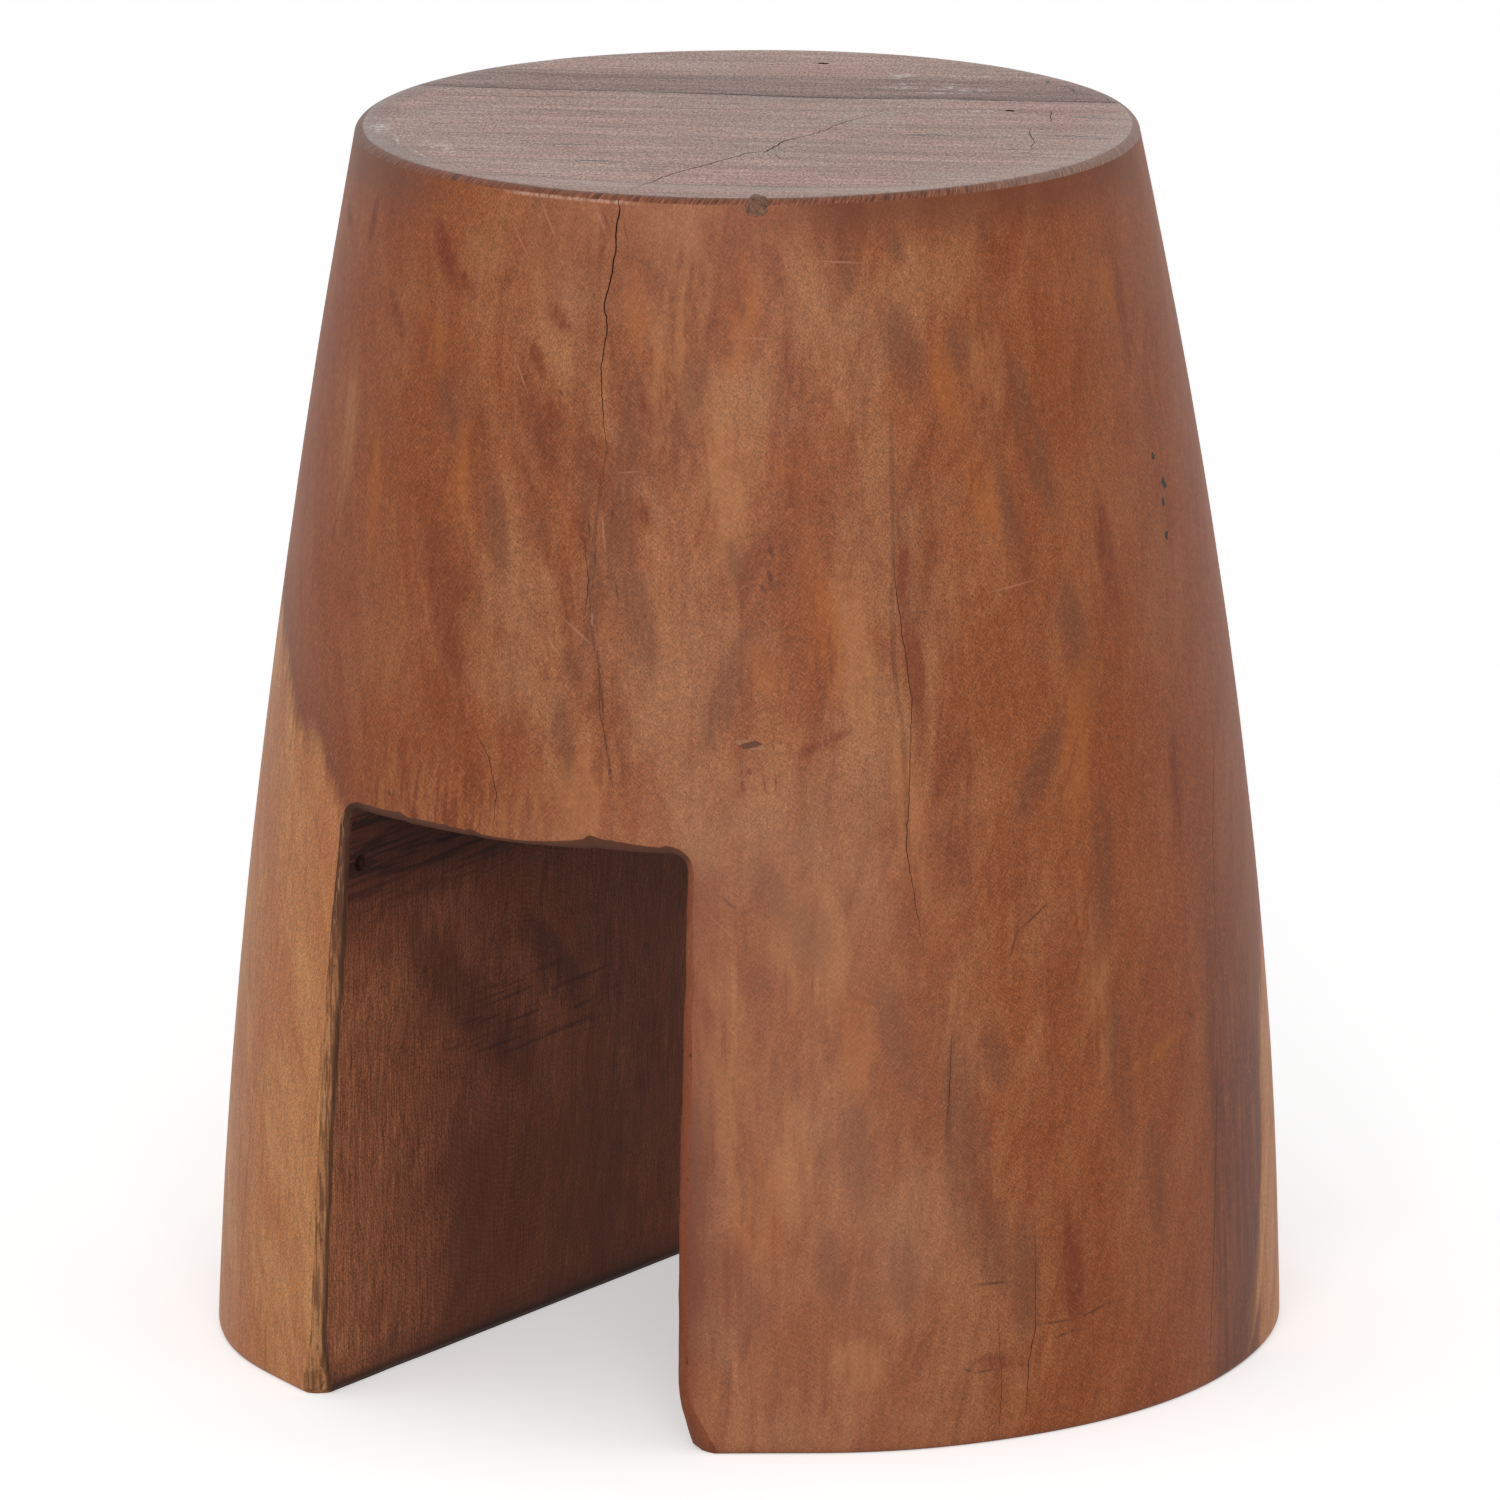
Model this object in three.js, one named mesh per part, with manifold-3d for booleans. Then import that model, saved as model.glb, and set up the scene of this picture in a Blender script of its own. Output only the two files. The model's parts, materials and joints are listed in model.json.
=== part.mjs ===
// Wooden stool carved from one section of tree trunk: a round body that flares towards
// the floor, a flat end-grain seat, and a tunnel through the lower half that leaves two legs.
// Millimetres, +Z up. The origin is on the floor, under the middle of the body. The tunnel
// runs along Y, and its front mouth is the one at -Y.

import * as THREE from "three";
import { mergeVertices } from "three/addons/utils/BufferGeometryUtils.js";
import Module from "manifold-3d";

const wasm = await Module();
wasm.setup();

// Body
const SEAT_HEIGHT = 450;
const FLOOR_RADIUS = 196;
const SEAT_RADIUS = 144;
const FLARE_POWER = 1.7; // the flank stands nearly upright at the floor and leans in towards the seat
const BOW = 1.8; // how far the middle of the body leans out of the straight at half height
const BOW_ANGLE = 33;

// A hand-shaped outline is never a true circle. Each wave has a count round the body, a phase in
// degrees, and its depth as a share of the radius.
const OUTLINE_WAVE_SHARES = [
  { count: 2, phase: 55, share: 0.0035 },
  { count: 3, phase: -20, share: 0.003 },
  { count: 5, phase: 10, share: 0.0015 },
];

// Flats dressed into the flank: the angle and spread in degrees, and the depth as a share of the
// radius, at the floor and at the seat. A depth below zero is a fuller place.
const FLAT_SHARES = [
  { angle: -56, spread: 12, floorShare: 0.026, seatShare: 0 },
  { angle: 14, spread: 18, floorShare: 0.01, seatShare: 0.004 },
  { angle: 36, spread: 18, floorShare: -0.01, seatShare: 0.008 },
  { angle: -118, spread: 9, floorShare: 0.012, seatShare: 0 },
  { angle: -147, spread: 24, floorShare: 0.008, seatShare: 0.016 },
  { angle: 128, spread: 16, floorShare: 0.008, seatShare: 0.01 },
];

// Rim of the seat: a small rounding that grows a little wider at both flanks
const RIM_ROUND = 4.5;
const RIM_DROP = 3;
const RIM_EXTRA = 1;
const RIM_WIDE_ANGLES = [8, -150, 100];
const RIM_WIDE_SPREAD = 34;

// Edge of the feet
const FOOT_BEVEL_DEPTH = 2;
const FOOT_BEVEL_HEIGHT = 3;

// Tunnel
const TUNNEL_HEIGHT = 218;
const TUNNEL_TOP_WIDTH = 141;
const TUNNEL_FLOOR_WIDTH = 148;
const TUNNEL_OFFSET = 7.5; // towards +X: the leg at +X is the thinner one
const TUNNEL_CORNER_RADIUS = 6;
const CEILING_BEVEL = 3.2;
const SHOULDER_BEVEL = 3.2; // the bevel of the legs' upright arrises, up by the ceiling
const SHOULDER_REACH = 60; // how far below the ceiling that bevel has grown to its full size
const WALL_FOOT_BEVEL = 1.5;

// Full bevel of each upright arris, and the extra cut that takes off its corner at the floor
const ARRIS_BEVEL_FRONT_LEFT = 5;
const ARRIS_BEVEL_FRONT_RIGHT = 5.5;
const ARRIS_BEVEL_BACK_LEFT = 6;
const ARRIS_BEVEL_BACK_RIGHT = 7;
const FOOT_CUT_FRONT_LEFT = 4;
const FOOT_CUT_FRONT_RIGHT = 8;
const FOOT_CUT_BACK_LEFT = 6;
const FOOT_CUT_BACK_RIGHT = 4;
const FOOT_CUT_HEIGHT = 26;

// Drying check: a split that opens in the seat, crosses the rim and runs down the front flank
const CHECK_WIDTH = 2;
const CHECK_DEPTH = 26;

// Where the check runs across the seat, as shares of the seat's radius, with its opening there as a
// share of the check's width. It starts behind the middle of the seat and ends at the front rim.
const CHECK_SEAT_SHARES = [
  { x: 0.19, y: 0.5, open: 0.12 },
  { x: 0.216, y: 0.26, open: 0.45 },
  { x: 0.205, y: 0.14, open: 0.5 },
  { x: 0.228, y: -0.06, open: 0.55 },
  { x: 0.212, y: -0.167, open: 0.5 },
  { x: 0.255, y: -0.31, open: 0.6 },
  { x: 0.23, y: -0.34, open: 0.45 },
  { x: 0.221, y: -0.5, open: 0.6 },
  { x: 0.217, y: -0.7, open: 0.65 },
  { x: 0.251, y: -0.82, open: 0.8 },
];

// Where the check runs down the flank: the height as a share of the seat's height, and the sideways
// place as a share of the seat's radius.
const CHECK_FLANK_SHARES = [
  { x: 0.246, height: 0.98, open: 1 },
  { x: 0.252, height: 0.955, open: 0.9 },
  { x: 0.247, height: 0.943, open: 0.95 },
  { x: 0.251, height: 0.925, open: 0.85 },
  { x: 0.243, height: 0.914, open: 0.85 },
  { x: 0.257, height: 0.895, open: 0.8 },
  { x: 0.254, height: 0.865, open: 0.7 },
  { x: 0.253, height: 0.84, open: 0.6 },
  { x: 0.263, height: 0.81, open: 0.5 },
  { x: 0.27, height: 0.79, open: 0.3 },
  { x: 0.268, height: 0.772, open: 0.1 },
];

// The filled lower stretch of the check
const FILL_WIDTH = 2.6;
const FILL_DEPTH = 8;
const CHECK_FILL_SHARES = [
  { x: 0.262, height: 0.757, open: 0.4 },
  { x: 0.256, height: 0.735, open: 0.9 },
  { x: 0.255, height: 0.705, open: 1 },
  { x: 0.262, height: 0.68, open: 0.8 },
  { x: 0.27, height: 0.655, open: 0.4 },
];
const FILL_CLEARANCE = 0.3; // between every inlaid piece and the pocket that holds it

// Knot in the front rim
const KNOT_DIAMETER = 9;
const KNOT_DEPTH = 16;
const KNOT_ANGLE = -56;
const KNOT_DROP = 2.5; // from the seat down to the middle of the knot

// Black-filled pits in the right flank: the angle in degrees, the height as a share of the seat's
// height, and the width and height of the pit as shares of the widest pit.
const PIT_WIDTH = 5;
const PIT_DEPTH = 6;
const PIT_SHARES = [
  { angle: 6.4, height: 0.758, wide: 0.55, tall: 0.5 },
  { angle: 8.4, height: 0.734, wide: 1, tall: 0.6 },
  { angle: 7.4, height: 0.7195, wide: 0.5, tall: 0.75 },
  { angle: 7, height: 0.693, wide: 0.55, tall: 0.6 },
];

// Pocket of ingrown bark above the tunnel's right shoulder
const BARK_WIDTH = 12;
const BARK_HEIGHT = 4;
const BARK_DEPTH = 5;
const BARK_ANGLE = -56.5;
const BARK_RISE = 40; // above the tunnel's ceiling
const BARK_TILT = -14;

// Open worm holes: two in the seat, and a wider one in the inner wall of the left leg
const SEAT_HOLE_DIAMETER = 4;
const SEAT_HOLE_DEPTH = 9;
const SEAT_HOLE_SHARES = [
  { x: -0.262, y: 0.749 },
  { x: 0.478, y: 0.478 },
];
const WALL_HOLE_DIAMETER = 6.5;
const WALL_HOLE_DEPTH = 8; // it ends inside the leg's front corner
const WALL_HOLE_BELOW_CEILING = 22;
const WALL_HOLE_INSIDE_MOUTH = 11;

// Every cutter reaches this far past the wood that it cuts
const OVERRUN = 4;
const WELD = 0.0005; // corners closer together than this are one

// Facets
const BODY_SEGMENTS = 96;
const BODY_RINGS = 18;
const RIM_STEPS = 4;
const CORNER_STEPS = 4;
const CEILING_STEPS = 7;
const PEG_SIDES = 14;
const WALL_STEP_SHARES = [0.02, 0.06, 0.12, 0.24, 0.42, 0.6, 0.72, 0.82, 0.91, 1];

const UP = new THREE.Vector3(0, 0, 1);
const DOWN = new THREE.Vector3(0, 0, -1);
const TO_THE_BACK = new THREE.Vector3(0, 1, 0);
const TO_THE_LEFT = new THREE.Vector3(-1, 0, 0);
const CYLINDER_AXIS = new THREE.Vector3(0, 1, 0);

const { degToRad, lerp, clamp, smoothstep } = THREE.MathUtils;

// A soft bump: 1 at its own angle, falling to nothing a few spreads away, all in degrees.
function bump(angle, middle, spread) {
  const turn = ((((angle - middle) % 360) + 540) % 360) - 180;
  return Math.exp(-((turn / spread) ** 2));
}

// Radius of the flank at an angle in degrees and a height.
function flankRadius(angle, height) {
  const rise = clamp(height / SEAT_HEIGHT, 0, 1);
  const round = FLOOR_RADIUS - (FLOOR_RADIUS - SEAT_RADIUS) * rise ** FLARE_POWER;
  let shape = 1;
  for (const { count, phase, share } of OUTLINE_WAVE_SHARES) {
    shape += share * Math.cos(count * degToRad(angle - phase));
  }
  for (const flat of FLAT_SHARES) {
    shape -= lerp(flat.floorShare, flat.seatShare, rise) * bump(angle, flat.angle, flat.spread);
  }
  return round * shape;
}

// Middle of the flank's outline at a height, before the whole body is centred over the origin.
function bowAt(height) {
  const rise = clamp(height / SEAT_HEIGHT, 0, 1);
  const out = BOW * Math.sin(Math.PI * rise);
  const angle = degToRad(BOW_ANGLE);
  return new THREE.Vector2(out * Math.cos(angle), out * Math.sin(angle));
}

function uncentredPoint(angle, height, inset) {
  const radius = flankRadius(angle, height) - inset;
  const middle = bowAt(height);
  const turn = degToRad(angle);
  return new THREE.Vector3(
    middle.x + radius * Math.cos(turn),
    middle.y + radius * Math.sin(turn),
    height,
  );
}

// The widest outline's box decides where the origin lies.
function middleOfBody() {
  const box = new THREE.Box3();
  for (let ring = 0; ring <= BODY_RINGS; ring++) {
    for (let step = 0; step < BODY_SEGMENTS; step++) {
      const angle = (360 * step) / BODY_SEGMENTS;
      box.expandByPoint(uncentredPoint(angle, (SEAT_HEIGHT * ring) / BODY_RINGS, 0));
    }
  }
  return box.getCenter(new THREE.Vector3()).setZ(0);
}

const MIDDLE = middleOfBody();

// Point of the flank at an angle in degrees and a height, set in by an inset.
function flankPoint(angle, height, inset = 0) {
  return uncentredPoint(angle, height, inset).sub(MIDDLE);
}

// Angle, in degrees, at which the flank passes a sideways place. side is -1 in front, 1 behind.
function angleAtX(x, height, side) {
  let angle = side * 90;
  for (let pass = 0; pass < 12; pass++) {
    const reach = flankPoint(angle, height);
    const radius = flankRadius(angle, height);
    const cosine = Math.cos(degToRad(angle)) + (x - reach.x) / radius;
    angle = side * THREE.MathUtils.radToDeg(Math.acos(clamp(cosine, -1, 1)));
  }
  return angle;
}

function flankY(x, height, side) {
  return flankPoint(angleAtX(x, height, side), height).y;
}

// Closed skin through rings of points, each ring counter-clockwise seen from the last ring.
function loft(rings) {
  const count = rings[0].length;
  const last = (rings.length - 1) * count;
  const points = rings.flat();
  const start = points.push(middleOf(rings[0])) - 1;
  const end = points.push(middleOf(rings[rings.length - 1])) - 1;
  const faces = [];
  for (let a = 0; a < last; a++) {
    const b = a % count === count - 1 ? a + 1 - count : a + 1;
    faces.push(a, b, b + count, a, b + count, a + count);
  }
  for (let j = 0; j < count; j++) {
    const k = (j + 1) % count;
    faces.push(start, k, j, end, last + j, last + k);
  }
  const geometry = new THREE.BufferGeometry().setFromPoints(points);
  geometry.setIndex(faces);
  return geometry;
}

function middleOf(points) {
  const sum = points.reduce((total, point) => total.add(point), new THREE.Vector3());
  return sum.divideScalar(points.length);
}

function solidFrom(geometry) {
  const bare = geometry.clone();
  bare.deleteAttribute("normal");
  bare.deleteAttribute("uv");
  const welded = mergeVertices(bare, WELD);
  return new wasm.Manifold(
    new wasm.Mesh({
      numProp: 3,
      vertProperties: new Float32Array(welded.attributes.position.array),
      triVerts: new Uint32Array(welded.index.array),
    }),
  );
}

function geometryFrom(solid) {
  const mesh = solid.getMesh();
  const geometry = new THREE.BufferGeometry();
  geometry.setAttribute("position", new THREE.BufferAttribute(mesh.vertProperties, 3));
  geometry.setIndex(new THREE.BufferAttribute(mesh.triVerts, 1));
  geometry.computeVertexNormals();
  return geometry;
}

// How much wider than its least the rim's rounding is at an angle, in degrees.
function rimGrowth(angle) {
  const wide = RIM_WIDE_ANGLES.map((middle) => bump(angle, middle, RIM_WIDE_SPREAD));
  return RIM_EXTRA * Math.max(...wide);
}

function ring(pointAt) {
  const points = [];
  for (let step = 0; step < BODY_SEGMENTS; step++) {
    points.push(pointAt((360 * step) / BODY_SEGMENTS));
  }
  return points;
}

// The body before anything is cut from it: a foot bevel, the flared flank and the rounded rim.
function bodyGeometry() {
  const rings = [ring((angle) => flankPoint(angle, 0, FOOT_BEVEL_DEPTH))];
  const rimDrop = (angle) => (RIM_DROP * (RIM_ROUND + rimGrowth(angle))) / RIM_ROUND;
  for (let step = 0; step <= BODY_RINGS; step++) {
    const share = step / BODY_RINGS;
    rings.push(
      ring((angle) => {
        const top = SEAT_HEIGHT - rimDrop(angle);
        return flankPoint(angle, lerp(FOOT_BEVEL_HEIGHT, top, share));
      }),
    );
  }
  for (let step = 1; step <= RIM_STEPS; step++) {
    const turn = (Math.PI / 2) * (step / RIM_STEPS);
    rings.push(
      ring((angle) => {
        const drop = rimDrop(angle);
        const inset = (RIM_ROUND + rimGrowth(angle)) * (1 - Math.cos(turn));
        const point = flankPoint(angle, SEAT_HEIGHT - drop, inset);
        return point.setZ(SEAT_HEIGHT - drop * (1 - Math.sin(turn)));
      }),
    );
  }
  return loft(rings);
}

// Size of the bevel of an upright arris at a height.
function arrisBevel(height, full, footCut) {
  const grown = smoothstep(TUNNEL_HEIGHT - height, 0, SHOULDER_REACH);
  const corner = Math.max(0, 1 - height / FOOT_CUT_HEIGHT);
  return lerp(SHOULDER_BEVEL, full, grown) + footCut * corner;
}

// Outline of the tunnel, seen from the front, clockwise from the foot of the left wall: each point
// has the direction into the wood beside it and the size of the mouth's bevel there.
function tunnelOutline(side) {
  const leftFull = side < 0 ? ARRIS_BEVEL_FRONT_LEFT : ARRIS_BEVEL_BACK_LEFT;
  const rightFull = side < 0 ? ARRIS_BEVEL_FRONT_RIGHT : ARRIS_BEVEL_BACK_RIGHT;
  const leftCut = side < 0 ? FOOT_CUT_FRONT_LEFT : FOOT_CUT_BACK_LEFT;
  const rightCut = side < 0 ? FOOT_CUT_FRONT_RIGHT : FOOT_CUT_BACK_RIGHT;
  const spring = TUNNEL_HEIGHT - TUNNEL_CORNER_RADIUS;
  const halfAt = (height) => {
    const rise = clamp(height / spring, 0, 1);
    return lerp(TUNNEL_FLOOR_WIDTH, TUNNEL_TOP_WIDTH, rise) / 2;
  };
  const wall = (hand, full, cut) => {
    const sized = (height) => arrisBevel(Math.max(height, 0), full, cut);
    const foot = (drop, spread) => ({
      x: TUNNEL_OFFSET + hand * (halfAt(0) + spread),
      z: -drop,
      outX: hand,
      outZ: 0,
      bevel: sized(0),
    });
    const points = [foot(OVERRUN, WALL_FOOT_BEVEL + OVERRUN), foot(0, WALL_FOOT_BEVEL)];
    for (const share of WALL_STEP_SHARES) {
      const z = share * spring;
      points.push({ x: TUNNEL_OFFSET + hand * halfAt(z), z, outX: hand, outZ: 0, bevel: sized(z) });
    }
    return points;
  };
  const corner = (hand) => {
    const points = [];
    for (let step = 1; step < CORNER_STEPS; step++) {
      const turn = (Math.PI / 2) * (step / CORNER_STEPS);
      const outX = hand * Math.cos(turn);
      const outZ = Math.sin(turn);
      points.push({
        x: TUNNEL_OFFSET + hand * (halfAt(spring) - TUNNEL_CORNER_RADIUS) + outX * TUNNEL_CORNER_RADIUS,
        z: spring + outZ * TUNNEL_CORNER_RADIUS,
        outX,
        outZ,
        bevel: lerp(SHOULDER_BEVEL, CEILING_BEVEL, step / CORNER_STEPS),
      });
    }
    return points;
  };
  const ceiling = [];
  for (let step = 0; step <= CEILING_STEPS; step++) {
    const reach = halfAt(spring) - TUNNEL_CORNER_RADIUS;
    ceiling.push({
      x: TUNNEL_OFFSET + lerp(-reach, reach, step / CEILING_STEPS),
      z: TUNNEL_HEIGHT,
      outX: 0,
      outZ: 1,
      bevel: CEILING_BEVEL,
    });
  }
  return [
    ...wall(-1, leftFull, leftCut),
    ...corner(-1),
    ...ceiling,
    ...corner(1).reverse(),
    ...wall(1, rightFull, rightCut).reverse(),
  ];
}

// One mouth of the tunnel: the inner edge of its bevel, the bevel carried on past the flank, and a
// last ring well clear of the body. side is -1 in front, 1 behind.
function mouthRings(side) {
  const inner = [];
  const outer = [];
  const clear = [];
  for (const { x, z, outX, outZ, bevel } of tunnelOutline(side)) {
    const from = new THREE.Vector3(x, flankY(x, z, side) - side * bevel, z);
    const wideX = x + outX * bevel;
    const wideZ = z + outZ * bevel;
    const through = new THREE.Vector3(wideX, flankY(wideX, wideZ, side), wideZ);
    const past = through.clone().sub(from).setLength(OVERRUN).add(through);
    inner.push(from);
    outer.push(past);
    clear.push(past.clone().setY(side * (FLOOR_RADIUS + 2 * OVERRUN)));
  }
  return [inner, outer, clear];
}

function tunnelCutter() {
  const front = mouthRings(-1).reverse();
  const back = mouthRings(1);
  return solidFrom(loft([...front, ...back]));
}

// A thin wedge whose open edge follows stations on the wood's surface. Each station has a place on
// the surface, the way in, the wedge's width there and its depth.
function wedge(stations) {
  const rings = stations.map(({ place, inward, width, depth }) => {
    const half = (width / 2) * ((depth + OVERRUN) / depth);
    const mouth = place.clone().addScaledVector(inward, -OVERRUN);
    const left = mouth.clone().setX(mouth.x - half);
    const right = mouth.clone().setX(mouth.x + half);
    const tip = place.clone().addScaledVector(inward, depth);
    return [left, tip, right];
  });
  return solidFrom(loft(rings));
}

function flankStation({ x, height, open }, width, depth) {
  const place = new THREE.Vector3(x * SEAT_RADIUS, 0, height * SEAT_HEIGHT);
  place.setY(flankY(place.x, place.z, -1));
  return { place, inward: TO_THE_BACK, width: width * open, depth: depth * Math.sqrt(open) };
}

// The check's whole run: across the seat, over the rim on the slant, and down the flank.
function checkCutter() {
  const seat = CHECK_SEAT_SHARES.map(({ x, y, open }) => ({
    place: new THREE.Vector3(x * SEAT_RADIUS, y * SEAT_RADIUS, SEAT_HEIGHT),
    inward: DOWN,
    width: CHECK_WIDTH * open,
    depth: CHECK_DEPTH * Math.sqrt(open),
  }));
  const rimX = CHECK_FLANK_SHARES[0].x * SEAT_RADIUS;
  const rim = {
    place: new THREE.Vector3(rimX, flankY(rimX, SEAT_HEIGHT, -1), SEAT_HEIGHT),
    inward: TO_THE_BACK.clone().add(DOWN).normalize(),
    width: CHECK_WIDTH,
    depth: CHECK_DEPTH,
  };
  const flank = CHECK_FLANK_SHARES.map((station) => flankStation(station, CHECK_WIDTH, CHECK_DEPTH));
  return wedge([...seat, rim, ...flank]);
}

function checkFillWedge(clearance) {
  const stations = CHECK_FILL_SHARES.map((station) =>
    flankStation(station, FILL_WIDTH, FILL_DEPTH),
  );
  stations[0].place.z -= clearance;
  stations[stations.length - 1].place.z += clearance;
  return wedge(
    stations.map((station) => ({
      ...station,
      width: station.width - 2 * clearance,
      depth: station.depth - clearance,
    })),
  );
}

// A round peg from outside the wood, through its mouth, to a depth inside.
function peg(mouth, inward, wide, tall, depth) {
  const turn = new THREE.Quaternion().setFromUnitVectors(CYLINDER_AXIS, inward);
  const middle = mouth.clone().addScaledVector(inward, (depth - OVERRUN) / 2);
  const geometry = new THREE.CylinderGeometry(wide / 2, wide / 2, depth + OVERRUN, PEG_SIDES)
    .applyQuaternion(turn)
    .scale(1, 1, tall / wide)
    .translate(middle.x, middle.y, middle.z);
  return solidFrom(geometry);
}

function flankMouth(angle, height) {
  const mouth = flankPoint(angle, height);
  const turn = degToRad(angle);
  return { mouth, inward: new THREE.Vector3(-Math.cos(turn), -Math.sin(turn), 0) };
}

function pitPeg({ angle, height, wide, tall }, clearance) {
  const { mouth, inward } = flankMouth(angle, height * SEAT_HEIGHT);
  const across = wide * PIT_WIDTH - 2 * clearance;
  const upright = tall * PIT_WIDTH - 2 * clearance;
  return peg(mouth, inward, across, upright, PIT_DEPTH - clearance);
}

function knotPeg(clearance) {
  const { mouth, inward } = flankMouth(KNOT_ANGLE, SEAT_HEIGHT - KNOT_DROP);
  const across = KNOT_DIAMETER - 2 * clearance;
  return peg(mouth, inward, across, across, KNOT_DEPTH - clearance);
}

// The bark pocket is a flat lens, half in the wood, tilted a little in the flank's surface.
function barkLens(clearance) {
  const { mouth, inward } = flankMouth(BARK_ANGLE, TUNNEL_HEIGHT + BARK_RISE);
  const turn = new THREE.Quaternion().setFromUnitVectors(CYLINDER_AXIS, inward);
  const tilt = new THREE.Quaternion().setFromAxisAngle(inward, degToRad(BARK_TILT));
  const along = new THREE.Vector3().crossVectors(inward, UP);
  const lens = new THREE.SphereGeometry(1, PEG_SIDES, PEG_SIDES / 2)
    .scale(BARK_WIDTH / 2 - clearance, BARK_DEPTH - clearance, BARK_HEIGHT / 2 - clearance)
    .applyQuaternion(turn);
  const level = new THREE.Vector3(1, 0, 0).applyQuaternion(turn).angleTo(along);
  return solidFrom(
    lens
      .applyQuaternion(new THREE.Quaternion().setFromAxisAngle(inward, level))
      .applyQuaternion(tilt)
      .translate(mouth.x, mouth.y, mouth.z),
  );
}

function wallHole() {
  const wallX = TUNNEL_OFFSET - TUNNEL_TOP_WIDTH / 2;
  const z = TUNNEL_HEIGHT - WALL_HOLE_BELOW_CEILING;
  const y = flankY(wallX, z, -1) + WALL_HOLE_INSIDE_MOUTH;
  const mouth = new THREE.Vector3(wallX, y, z);
  return peg(mouth, TO_THE_LEFT, WALL_HOLE_DIAMETER, WALL_HOLE_DIAMETER, WALL_HOLE_DEPTH);
}

function seatHole({ x, y }) {
  const mouth = new THREE.Vector3(x * SEAT_RADIUS, y * SEAT_RADIUS, SEAT_HEIGHT);
  return peg(mouth, DOWN, SEAT_HOLE_DIAMETER, SEAT_HOLE_DIAMETER, SEAT_HOLE_DEPTH);
}

// Materials
function oiledTrunkWood() {
  return new THREE.MeshStandardMaterial({ color: 0x8a4a26, roughness: 0.5, metalness: 0 });
}

function greyKnotWood() {
  return new THREE.MeshStandardMaterial({ color: 0x6b5146, roughness: 0.6, metalness: 0 });
}

function sandedFiller() {
  return new THREE.MeshStandardMaterial({ color: 0x7c4526, roughness: 0.65, metalness: 0 });
}

function blackResin() {
  return new THREE.MeshStandardMaterial({ color: 0x1b110d, roughness: 0.4, metalness: 0 });
}

function ingrownBark() {
  return new THREE.MeshStandardMaterial({ color: 0x4a2c20, roughness: 0.8, metalness: 0 });
}

// A named mesh whose own origin is at its place, so that it is set into the stool by its position.
function pieceAt(name, solid, material, place) {
  const geometry = geometryFrom(solid).translate(-place.x, -place.y, -place.z);
  const mesh = new THREE.Mesh(geometry, material);
  mesh.name = name;
  mesh.position.copy(place);
  return mesh;
}

function buildStool() {
  const body = solidFrom(bodyGeometry());
  const stool = new THREE.Group();
  const inlays = new THREE.Group();
  let block = body.subtract(tunnelCutter()).subtract(checkCutter()).subtract(wallHole());
  for (const place of SEAT_HOLE_SHARES) block = block.subtract(seatHole(place));

  // Each inlaid piece ends flush with the flank, and its pocket is larger by the clearance.
  const inlay = (name, shapeWith, material, place) => {
    block = block.subtract(shapeWith(0));
    inlays.add(pieceAt(name, shapeWith(FILL_CLEARANCE).intersect(body), material, place));
  };
  const knotPlace = flankMouth(KNOT_ANGLE, SEAT_HEIGHT - KNOT_DROP).mouth;
  inlay("rim_knot", knotPeg, greyKnotWood(), knotPlace);
  const fillPlace = flankStation(CHECK_FILL_SHARES[0], FILL_WIDTH, FILL_DEPTH).place;
  inlay("check_fill", checkFillWedge, sandedFiller(), fillPlace);
  PIT_SHARES.forEach((pit, index) => {
    const place = flankMouth(pit.angle, pit.height * SEAT_HEIGHT).mouth;
    inlay(`pit_fill_${index + 1}`, (clearance) => pitPeg(pit, clearance), blackResin(), place);
  });
  const barkPlace = flankMouth(BARK_ANGLE, TUNNEL_HEIGHT + BARK_RISE).mouth;
  inlay("bark_pocket", barkLens, ingrownBark(), barkPlace);

  stool.add(pieceAt("trunk_block", block, oiledTrunkWood(), new THREE.Vector3()));
  stool.add(inlays);
  return stool;
}

export default buildStool();
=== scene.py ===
# %% [markdown]
# # A stool carved from one section of tree trunk
# The real stool is a single block of wood. It flares towards the floor, its seat is end grain,
# and a tunnel sawn through the lower half leaves two legs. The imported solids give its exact
# place and size. This lesson builds the same body again with the fine shape that wood has up
# close: splits, worn arrises, nicks and filled flaws. Then it gives each surface its finish.

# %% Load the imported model
import json
import math

import bmesh
import bpy
import numpy as np
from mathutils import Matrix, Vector, noise
from mathutils.bvhtree import BVHTree

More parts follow.
